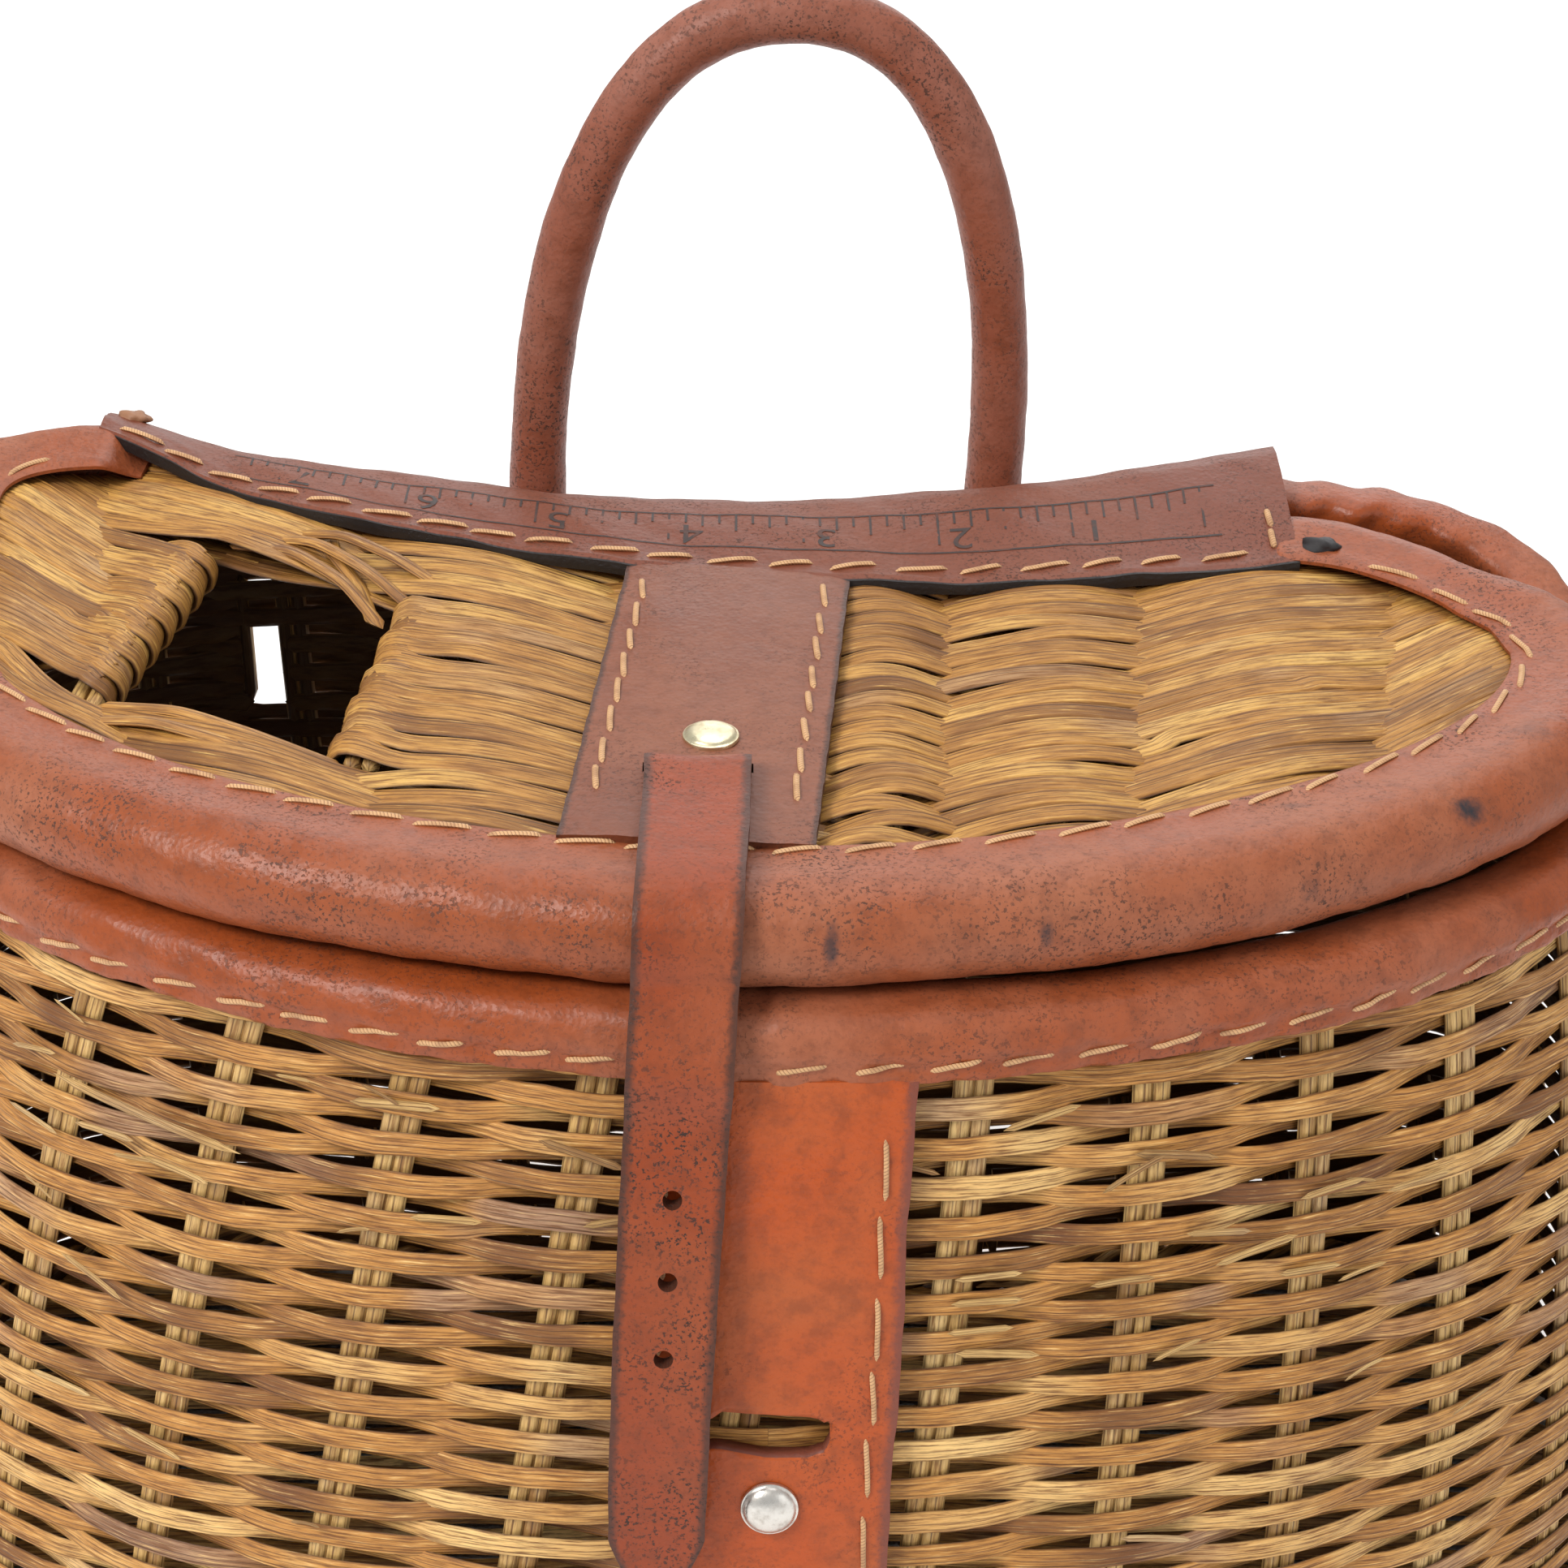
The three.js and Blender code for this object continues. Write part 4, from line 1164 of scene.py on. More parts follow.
@dataclass
class BasketBody(Part):
    """The woven body: rows of split willow round pairs of stakes, a foot border and a base."""

    stakes: int = 28
    stake_at: float = 3.4
    lean: float = 0.117
    row_pitch: float = 3.36
    first_row: float = 8.2
    last_row: float = 190.0
    samples: int = 281
    depth: float = 1.6
    sag: float = 8.5
    step: float = 0.01
    slot_x: float = 103.5
    slot_low: float = 159.8
    slot_high: float = 180.2
    slot_half: float = 3.3
    chance_frays: int = 34
    frays: tuple[tuple[float, float, float, float, float], ...] = (
        (-103.0, 163.0, 34.0, -2.0, 0.8), (58.0, 166.0, 10.0, 6.0, 1.6), (65.0, 168.0, 14.0, -2.0, 1.8),
        (35.0, 151.0, 11.0, 0.5, 0.5), (35.0, 146.5, 12.0, 0.0, 0.5), (34.0, 141.5, 11.0, 0.4, 0.6),
        (37.0, 137.0, 14.0, -1.0, 1.2), (-52.0, 158.0, 12.0, 2.0, 1.2), (-30.0, 172.0, 14.0, -3.0, 0.9),
        (80.0, 148.0, 14.0, 3.0, 1.4), (-60.0, 176.0, 15.0, 2.0, 0.8), (22.0, 171.0, 9.0, -2.0, 1.0),
    )

    def stake_place(self, height: float, length: float) -> float:
        """The place of the first stake at a height on an outline of a length."""
        return (self.stake_at - self.lean * (self.shape.wall_height - height)) / length

    def strand_profile(self) -> Array:
        """A flat split strand with two grooves on its outer face."""
        return np.array([
            (0.0, 2.05), (0.42, 1.8), (0.62, 1.25), (0.34, 0.74), (0.64, 0.22), (0.64, -0.22),
            (0.34, -0.74), (0.62, -1.25), (0.42, -1.8), (0.0, -2.05), (-0.45, -1.2), (-0.45, 1.2),
        ])

    def row(self, index: int, places: Array) -> Strand:
        """One row's points, widths' directions and sizes at places round the wall.

        Args:
            index: the row's number, from the foot.
            places: shares of the way round the wall.

        Returns:
            Points in the world, directions of width, and sizes.
        """
        height = self.first_row + self.row_pitch * index
        share = height / self.shape.wall_height
        low, loop, high = (
            self.shape.plan_at(share + away).loop() for away in (-self.step, 0.0, self.step)
        )
        phase = (places - self.stake_place(height, loop.length)) * self.stakes
        wave = np.cos(math.pi * phase) * (1 if index % 2 == 0 else -1)
        swing = signed_power(wave, 0.8)
        side = np.abs(np.mod(places + 0.5, 1.0) - 0.5)
        tight = soft_step(0.1, 0.2, side)
        rear = soft_step(0.22, 0.3, side)
        top = self.shape.wall_top(places)
        rise = high.point(places) - low.point(places)
        outward = loop.outward(places)
        flare = -np.sum(rise * outward, axis=1) / (2 * self.step * top)
        drop = 4 * share * (1 - share) * soft_step(0.02, 0.17, side) * (1 - rear)
        reach = (self.depth - 0.45 * tight - 0.35 * rear) * swing
        out = self.shape.wall_middle + reach + self.sag * drop * flare
        flat = loop.point(places) + outward * out[:, None]
        drift = 0.34 * ripple(places, 100 + index, 0.11) + 0.2 * ripple(places, 400 + index, 0.031)
        centre = self.shape.placed(flat, share * top + drift - self.sag * drop)
        wide = unit(np.column_stack([rise, 2 * self.step * top]))
        size = np.where(wave > 0, 0.95 + 0.06 * wave, 0.95 + 0.17 * wave)
        size = size * (1 + 0.06 * ripple(places, 700 + index, 0.05))
        return centre, wide, size + (0.16 * tight + 0.14 * rear) * (wave < 0.4)

    def slot_places(self, index: int) -> tuple[float, float, float]:
        """The right and left slots' places on a row, and their half width there.

        Args:
            index: the row's number.

        Returns:
            Three shares of the way round the wall.
        """
        share = (self.first_row + self.row_pitch * index) / self.shape.wall_height
        loop = self.shape.plan_at(share).loop()
        right = loop.place_of_x(self.slot_x, 0.3, 0.47)
        left = loop.place_of_x(-self.slot_x, 0.53, 0.7)
        return right, left, self.slot_half / loop.length

    def weave(self) -> list[Thing]:
        """The rows, in a few pieces, with the rows at the slots left open there."""
        count = int((self.last_row - self.first_row) / self.row_pitch) + 1
        whole: list[int] = []
        cut: list[int] = []
        for index in range(count):
            place = self.slot_places(index)[0]
            share = (self.first_row + self.row_pitch * index) / self.shape.wall_height
            z = share * float(self.shape.wall_top(np.array([place]))[0])
            (cut if self.slot_low - 1.5 < z < self.slot_high + 1.5 else whole).append(index)
        pieces = []
        around = np.linspace(0.0, 1.0, self.samples)
        third = math.ceil(len(whole) / 3)
        for number, name in enumerate(("low", "middle", "high")):
            rows = [self.row(index, around) for index in whole[number * third:(number + 1) * third]]
            pieces.append(MeshKit.woven(f"body_weave_{name}", rows, self.strand_profile(),
                                        number * third))
        fronts, backs = [], []
        for index in cut:
            right, left, half = self.slot_places(index)
            for rows, start, end, samples in (
                (fronts, left + half - 1, right - half, self.samples),
                (backs, right + half, left - half, 81),
            ):
                places = np.linspace(start, end, samples)
                centre, wide, size = self.row(index, places)
                size[0] = size[-1] = 0.0
                rows.append((centre, wide, size))
        for name, rows in (("slots_front", fronts), ("slots_back", backs)):
            pieces.append(MeshKit.woven(f"body_weave_{name}", rows, self.strand_profile(),
                                        80 + len(pieces) * 10))
        return pieces

    def rods(self) -> Thing:
        """The pairs of stakes."""
        shares = np.linspace(0.03, 0.985, 26)
        loops = [self.shape.plan_at(share).loop() for share in shares]
        rows = []
        for stake in range(self.stakes):
            for side in (-1, 1):
                rows.append([
                    self.stake_place(share * self.shape.wall_height, loop.length)
                    + stake / self.stakes + side * 1.66 / loop.length
                    for share, loop in zip(shares, loops)
                ])
        centre = np.zeros((len(rows), len(shares), 3))
        wide = np.zeros_like(centre)
        for column, (share, loop) in enumerate(zip(shares, loops)):
            places = np.array([row[column] for row in rows])
            out = loop.outward(places)
            flat = loop.point(places) + out * self.shape.wall_middle
            centre[:, column] = self.shape.placed(flat, share * self.shape.wall_top(places))
            wide[:, column] = np.column_stack([out[:, 1], -out[:, 0], np.zeros(len(places))])
        size = closed(*centre.shape[:2])
        return MeshKit.strands("body_stakes", centre, wide, size, MeshKit.ring(8, 1.05, 1.68), 200)

    def slot_rods(self) -> Thing:
        """One short rod at each side of each slot, which the cut rows end on."""
        heights = np.linspace(self.slot_low - 7, self.slot_high + 6, 10)
        rows = []
        for side in (-1, 1):
            for edge in (-1, 1):
                x = side * self.slot_x + edge * 4.4
                rows.append([(x, self.shape.back_face(x, z) - 2.6, z) for z in heights])
        centre = np.array(rows)
        wide, size = facing((1, 0, 0), *centre.shape[:2]), closed(*centre.shape[:2])
        return MeshKit.strands("body_slot_rods", centre, wide, size, MeshKit.ring(8, 1.5, 1.5), 280)

    def splinters(self) -> Thing:
        """Pale frayed splinters that stand off the front, a few in known places."""
        rng = np.random.default_rng(12)
        ranges = ((-125, 125), (95, 182), (5, 13), (-3, 4), (0.4, 2.2))
        chance = [tuple(rng.uniform(*ends) for ends in ranges) for _ in range(self.chance_frays)]
        share = np.linspace(0.0, 1.0, 9)
        strands = []
        for x, height, length, drop, stand in [*self.frays, *chance]:
            across = x + length * (share - 0.5)
            level = height + drop * (share - 0.5)
            y = self.shape.front_face(across, level) - 0.2 - stand * share**2
            strands.append((np.column_stack([across, y, level]), facing((0, 0, 1), len(share)),
                            closed(len(share)) * min(1.0, length / 16)))
        return MeshKit.woven("body_splinters", strands, MeshKit.ring(6, 0.25, 0.95), 600)

    def border(self) -> Thing:
        """The rope-like foot border round the base."""
        loop = self.shape.base_plan.loop()
        places = np.linspace(0.0, 1.0, 721)
        rows = []
        for strand in range(3):
            turn = 2 * math.pi * (44 * places + strand / 3)
            out = -3.6 + 2.1 * np.cos(turn)
            flat = loop.point(places) + loop.outward(places) * out[:, None]
            rows.append((self.shape.placed(flat, 4.3 + 1.9 * np.sin(turn)),
                         facing((0, 0, 1), len(places)), np.ones(len(places))))
        return MeshKit.woven("body_foot_border", rows, MeshKit.ring(8, 2.1, 2.1), 300)

    def base(self) -> Thing:
        """The flat woven base, with rows from side to side."""
        places = np.linspace(0.0, 1.0, 241)[:-1]
        loop = self.shape.base_plan.loop()
        outline = loop.point(places) - loop.outward(places) * 5.0
        weave = FlatWeave(outline, 3.2, 0.9)
        rows = []
        x = np.arange(-182.0, 182.0, 2.0)
        for index, y in enumerate(np.arange(-113.0, 90.0, 4.4)):
            rows += weave.runs(np.column_stack([x, np.full(len(x), y)]), index, 74)
        for centre, _, _ in rows:
            centre[:, 1] += self.shape.side_line
        return MeshKit.woven("body_base_weave", rows, MeshKit.ring(8, 0.9, 2.35), 320)

    def build(self) -> None:
        """Builds and dresses the body."""
        for piece in self.weave() + [self.border(), self.base()]:
            mount(piece, self.palette.body, "basket_body")
        for piece in (self.rods(), self.slot_rods(), self.splinters()):
            mount(piece, self.palette.stake, "basket_body")


@dataclass
class FlatWeave:
    """Rows of a flat weave inside an outline."""

    outline: Array
    height: float = 0.0
    wave: float = 0.0
    bars: float = 30.0

    def inside(self, points: Array) -> Array:
        """Tells which points lie inside the outline.

        Args:
            points: points of the same plane.

        Returns:
            One answer for each point.
        """
        x, y = points[:, 0][:, None], points[:, 1][:, None]
        ax, ay = self.outline[:, 0][None, :], self.outline[:, 1][None, :]
        bx, by = np.roll(ax, -1, axis=1), np.roll(ay, -1, axis=1)
        spans = (ay > y) != (by > y)
        cross = ax + (y - ay) * (bx - ax) / np.where(by == ay, 1e-9, by - ay)
        return np.sum(spans & (x < cross), axis=1) % 2 == 1

    def runs(self, path: Array, index: int, samples: int) -> list[Strand]:
        """The parts of a row that lie inside the outline.

        Args:
            path: the row's points, left to right.
            index: the row's number, which sets whether it starts over or under.
            samples: how many points each part gets.

        Returns:
            Points, directions of width and sizes of each part.
        """
        mask = self.inside(path)
        edges = np.flatnonzero(np.diff(np.concatenate([[0], mask.astype(int), [0]])))
        parts = []
        for start, end in zip(edges[::2], edges[1::2]):
            if end - start < 4:
                continue
            piece = MeshKit.curve(path[start:end], samples, 0)
            lift = self.wave * np.cos(math.pi * piece[:, 0] / self.bars + math.pi * (index % 2))
            centre = np.column_stack([piece, self.height + lift])
            parts.append((centre, facing((0, 1, 0), samples), closed(samples)))
        return parts


@dataclass
class LidWeave(Part):
    """The woven lid: rows that lie close together over hidden stakes, round the hole for fish."""

    rows: int = 43
    samples: int = 124
    wave: float = 2.9
    sink: float = 2.2
    hole: tuple[Row, ...] = ((-100.5, 40.5), (-65.0, 13.0), (-71.5, -38.0), (-112.5, -19.0))
    valleys: tuple[float, ...] = (-230.0, -190.0, -150.0, -112.0, -68.0, -24.0, 12.0, 33.0, 67.0,
                                  111.0, 152.0, 190.0)
    slits: tuple[tuple[float, float, float, float], ...] = (
        (45.0, 6.0, 9.0, 1.5), (70.0, -31.0, 10.0, 1.2), (96.0, -12.0, 9.0, 0.9),
        (95.0, -47.0, 9.0, 1.1), (21.0, -6.0, 6.0, 0.8), (-52.0, -5.0, 6.0, 0.8),
        (-118.0, 10.0, 9.0, 0.9),
    )
    wrap: tuple[Row, ...] = (
        (0.6, -0.2), (2.2, -1.6), (2.9, -3.6), (2.4, -5.8), (0.2, -7.2), (-4.0, -7.6),
    )
    stray: tuple[tuple[tuple[float, float, float], ...], ...] = (
        ((-99.0, 42.0, -1.0), (-86.0, 35.0, 1.4), (-75.0, 23.0, 1.0), (-67.0, 12.0, -3.0)),
        ((-95.0, 45.0, -1.0), (-82.0, 38.0, 1.9), (-71.0, 27.0, 1.4), (-60.0, 15.0, -2.0)),
        ((-88.0, 47.0, -1.0), (-77.0, 40.0, 2.4), (-66.0, 31.0, 2.0), (-54.0, 22.0, -1.5)),
        ((-80.0, 44.0, -1.0), (-78.0, 34.0, 1.0), (-72.0, 24.0, -1.0), (-69.0, 15.0, -4.0)),
        ((-113.0, -20.0, -2.0), (-98.0, -26.5, 1.0), (-84.0, -34.0, 0.6), (-68.0, -41.0, -2.0)),
        ((-116.0, -25.0, -2.0), (-101.0, -31.0, 1.3), (-86.0, -38.5, 1.0), (-66.0, -46.0, -2.0)),
    )

    def outline(self) -> Array:
        """The edge of the weave, under the rim and the hinge strip."""
        places = np.linspace(0.0, 1.0, 481)[:-1]
        loop = self.shape.lid_plan.loop()
        points = loop.point(places)
        back = (places > 0.27) & (places < 0.73) & (points[:, 1] > 20)
        under_strip = back & (points[:, 0] > -122.0) & (points[:, 0] < 98.0)
        spread = LidRim.read(LidRim.spread, places)
        inset = np.where(under_strip, 2.0, 14.0) - spread
        return points - loop.outward(places) * inset[:, None]

    def edge(self, a: int, b: int, along: Array, axis: int) -> Array:
        """The hole's edge between two corners, read along one axis.

        Args:
            a: the number of the first corner.
            b: the number of the second one.
            along: places on the axis.
            axis: 0 to read by x, 1 to read by depth.

        Returns:
            Places on the other axis.
        """
        first, last = np.array(self.hole[a]), np.array(self.hole[b])
        t = (along - first[axis]) / (last[axis] - first[axis])
        return first[1 - axis] + t * (last[1 - axis] - first[1 - axis])

    def row_depth(self, x: Array, share: float) -> Array:
        """A row's depth at x, fanned between the front edge and the hinge strip.

        Args:
            x: places across the lid.
            share: the row's share of the way from front to back.

        Returns:
            Depths from the lid's side line.
        """
        held = np.clip(x, -144.0, 144.0)
        step = 0.5
        plan = self.shape.lid_plan
        slope = (plan.front_depth(held + step) - plan.front_depth(held - step)) / (2 * step)
        front = plan.front_depth(held) + 15.0 * np.hypot(1.0, np.clip(slope, -1.6, 1.6))
        back = self.shape.strip_edge(x) + 10.0
        return front + (back - front) * share

    def pushed(self, x: Array, y: Array) -> Array:
        """A row's depth moved clear of the hole's front or back edge.

        Args:
            x: places across the lid.
            y: the row's depths there.

        Returns:
            The moved depths.
        """
        near = soft_step(-134.0, -113.0, x) * (1 - soft_step(-68.0, -46.0, x))
        held = np.clip(x, -112.0, -66.0)
        front = self.edge(3, 2, np.clip(held, -112.5, -71.5), 0) - 1.6
        back = self.edge(0, 1, np.clip(held, -100.5, -65.0), 0) + 1.6
        middle = float(np.interp(-90.0, x, y))
        soft = 5.0
        if middle < -29.0:
            return y + near * (front - soft * np.log1p(np.exp((front - y) / soft)) - y)
        if middle > 30.0:
            return y + near * (back + soft * np.log1p(np.exp((y - back) / soft)) - y)
        return y

    def lift(self, x: Array, y: Array, index: int) -> Array:
        """The wave of a row over and under the hidden stakes, from -1 to 1.

        Args:
            x: places across the lid.
            y: the row's depths there.
            index: the row's number.

        Returns:
            One value for each place.
        """
        shift = np.random.default_rng(3000 + index).uniform(-2.4, 2.4)
        steady = (x + shift) / (1 + 0.0018 * (y + 12.0))
        marks = np.array(self.valleys)
        span = np.clip(np.searchsorted(marks, steady) - 1, 0, len(marks) - 2)
        share = (steady - marks[span]) / (marks[span + 1] - marks[span])
        return np.sin(math.pi * share) * np.where((span + index) % 2 == 0, 1.0, -1.0)

    def gap(self, x: Array, y: Array) -> Array:
        """Moves rows a little apart at the slits.

        Args:
            x: places across the lid.
            y: the row's depths there.

        Returns:
            The moved depths.
        """
        moved = y.copy()
        for at, depth, half, push in self.slits:
            near = np.clip(1 - ((x - at) / half) ** 2, 0.0, 1.0)
            away = moved - depth
            moved += near * push * np.sign(away) * np.exp(-np.abs(away) / 5.0)
        return moved

    def strand(self, x: Array, y: Array, index: int, turn: int) -> Strand:
        """One strand's points, directions of width and sizes.

        Args:
            x: places across the lid.
            y: depths at those places.
            index: the row's number.
            turn: 1 wraps the strand's right end round the hole's edge, -1 its left end.

        Returns:
            Points in the world, directions of width, and sizes.
        """
        lift = self.lift(x, y, index)
        edge = np.linalg.norm(
            np.column_stack([x, y])[:, None, :] - self.edge_points[None, :, :], axis=2).min(axis=1)
        calm = soft_step(0.0, 14.0, edge)
        z = -self.sink + self.wave * lift * (0.25 + 0.75 * calm)
        z += 0.8 * calm * ripple(x, 31, 170.0)
        z += 3.0 * soft_step(20.0, 75.0, y) * (1 - soft_step(-150.0, -112.0, x))
        path = np.column_stack([x, y, z])
        if turn:
            path = path[::turn]
            end_x, end_y, _ = path[-1]
            away = np.abs(path[:, 0] - end_x)
            roll = 1 - soft_step(4.0, 15.0, away)
            path[:, 2] = path[:, 2] * (1 - roll) + roll * 0.2
            bend = np.array(self.wrap)
            wrapped = np.column_stack([end_x - turn * 2.0 + turn * bend[:, 0],
                                       np.full(len(bend), end_y), bend[:, 1]])
            path = np.concatenate([path[away > 2.0], wrapped])[::turn]
        path = MeshKit.curve(path, self.samples, 1) + self.shape.lid_origin
        return path, facing((0, 1, 0), self.samples), closed(self.samples)

    def weave(self) -> list[Thing]:
        """The rows, in a front and a back piece."""
        outline = self.outline()
        self.edge_points = outline[::3]
        area = FlatWeave(outline)
        strands = []
        x = np.arange(-165.0, 160.0, 1.5)
        for index in range(self.rows):
            share = (index + 0.5) / self.rows
            y = self.pushed(x, self.row_depth(x, share))
            y = self.gap(x, y) + 0.35 * ripple(x, 900 + index, 90.0)
            mask = area.inside(np.column_stack([x, y]))
            cut = -29.0 <= float(np.interp(-90.0, x, y)) <= 30.0
            left_edge = self.edge(3, 0, np.clip(y, -19.0, 40.5), 1)
            right_edge = self.edge(2, 1, np.clip(y, -38.0, 13.0), 1)
            spans = [(mask, 0)]
            if cut:
                spans = [(mask & (x < left_edge), 1), (mask & (x > right_edge), -1)]
            for part, turn in spans:
                chosen = np.flatnonzero(part)
                if len(chosen) < 8:
                    continue
                chosen = np.arange(chosen[0], chosen[-1] + 1)
                strands.append(self.strand(x[chosen], y[chosen], index, turn))
        profile = np.array([
            (0.0, 2.45), (0.5, 2.15), (0.75, 1.6), (0.5, 1.05), (0.85, 0.5), (0.6, 0.0), (0.85, -0.5),
            (0.5, -1.05), (0.75, -1.6), (0.5, -2.15), (0.0, -2.45), (-0.6, -1.6), (-0.6, 1.6),
        ])
        half = len(strands) // 2
        return [MeshKit.woven("lid_weave_front", strands[:half], profile, 400),
                MeshKit.woven("lid_weave_back", strands[half:], profile, 400 + half)]

    def loose(self) -> Thing:
        """Loose strands at the hole's back and front edges."""
        samples = 24
        strands = [
            (MeshKit.curve(points, samples, 3) + self.shape.lid_origin,
             facing((0.4, 0.9, 0), samples), closed(samples))
            for points in self.stray
        ]
        return MeshKit.woven("lid_loose_strands", strands, MeshKit.ring(8, 0.7, 1.5), 560)

    def rods(self) -> Thing:
        """The hidden stakes, seen only at the slits and the hole's edges."""
        rows = []
        for middle in (-131.0, -46.0, 22.0, 50.0, 89.0, 128.0):
            for side in (-1.8, 1.8):
                rows.append([(middle + side, -95.0), (middle + side, 70.0)])
        for inset in (2.6, 5.8):
            rows.append([(-112.5 - inset, -22.0), (-100.5 - inset, 42.0)])
            rows.append([(-71.5 + inset, -40.0), (-65.0 + inset, 15.0)])
        area = FlatWeave(self.outline())
        samples = 40
        strands = []
        for ends in rows:
            path = MeshKit.curve(ends, 60, 0)
            path[:, 0] *= 1 + 0.0009 * (path[:, 1] + 12.0)
            path = path[area.inside(path)]
            if len(path) < 5:
                continue
            path = MeshKit.curve(path, samples, 0)
            path = np.column_stack([path, np.full(samples, -self.sink - 0.6)]) + self.shape.lid_origin
            strands.append((path, facing((-1, 0, 0), samples), closed(samples)))
        return MeshKit.woven("lid_stakes", strands, MeshKit.ring(8, 1.6, 1.6), 500)

    def build(self) -> None:
        """Builds and dresses the lid's weave."""
        for piece in self.weave() + [self.loose()]:
            mount(piece, self.palette.lid, "lid_wicker")
        mount(self.rods(), self.palette.stake, "lid_wicker")


@dataclass
class Binding(Part):
    """The leather that is folded over the body's rim, with its hem and stitches."""

    columns: int = 641
    corners: tuple[Row, ...] = (
        (0.3, -8.0), (2.6, -8.1), (3.1, -7.2), (3.2, -5.6), (2.7, -4.9), (3.6, -4.3), (4.5, -2.8),
        (4.4, -0.6), (3.3, 1.6), (1.2, 2.9), (-1.6, 3.3), (-4.4, 3.4), (-7.4, 3.2), (-9.2, 1.8),
        (-9.0, -0.5), (-7.8, -8.0), (-5.3, -8.0), (-5.3, 0.3), (0.3, 0.3),
    )

    def surface(self, places: Array, out: Array, up: Array) -> Array:
        """Points on the binding, with its folds and puckers.

        Args:
            places: shares of the way round the rim.
            out: distances out from the wall's face.
            up: heights over the wall's top.

        Returns:
            Points in the world.
        """
        share = 1 + np.minimum(up, 0.0) / self.shape.wall_height
        flat = np.zeros((len(places), 2))
        for value in np.unique(np.round(share, 4)):
            chosen = np.isclose(np.round(share, 4), value)
            loop = self.shape.plan_at(float(value)).loop()
            flat[chosen] = loop.point(places[chosen]) + loop.outward(places[chosen]) * out[chosen, None]
        return self.shape.placed(flat, self.shape.wall_top(places) + up)

    def relief(self, places: Array, out: Array, up: Array) -> tuple[Array, Array]:
        """The outward and upward moves of folds and puckers.

        Args:
            places: shares of the way round the rim.
            out: distances out from the wall's face.
            up: heights over the wall's top.

        Returns:
            Both moves in millimetres.
        """
        outer = soft_step(-1.0, 2.0, out)
        gather = np.exp(-((np.mod(places, 1.0) - 0.385) / 0.06) ** 2)
        fold = gather * (1.6 * np.sin(places * 460.0 + up * 0.35) + 1.1 * np.sin(places * 210.0))
        soft = 0.45 * ripple(places, 51, 0.09) + 0.3 * ripple(places + up * 0.004, 52, 0.021)
        crown = soft_step(-5.0, 1.0, up)
        pucker = 0.25 * ripple(places, 53, 0.0125) * (1 - crown)
        lift = crown * (0.5 * ripple(places, 54, 0.12) + gather * 1.8)
        return outer * (soft + pucker) + fold * crown * 0.8 + gather * outer, lift

    def build(self) -> None:
        """Builds and dresses the binding and its stitches."""
        section = MeshKit.section(self.corners, 52, 1)

        def place(column: Array, row: Array) -> Array:
            """Points of the binding."""
            places = np.mod(column, self.columns - 1) / (self.columns - 1)
            out, up = section[row, 0], section[row, 1]
            more_out, more_up = self.relief(places, out, up)
            return self.surface(places, out + more_out, up + more_up)

        leather = MeshKit.grid("body_binding", self.columns, len(section), place)
        mount(leather, self.palette.binding, "body_rim")
        places = np.linspace(0.0, 1.0, 1200)
        out, up = np.full_like(places, 3.15), np.full_like(places, -5.0)
        more_out, _ = self.relief(places, out, up)
        path = self.surface(places, out + more_out - 0.2, up)
        outward = self.shape.rim_plan.loop().outward(places)
        normal = np.column_stack([outward, np.zeros_like(places)])
        self.sew(Stitches(10.0, 12.0, 0.48, 1.5), "binding_stitches", path, normal, 3, Slot.RIM,
                 "body_rim")


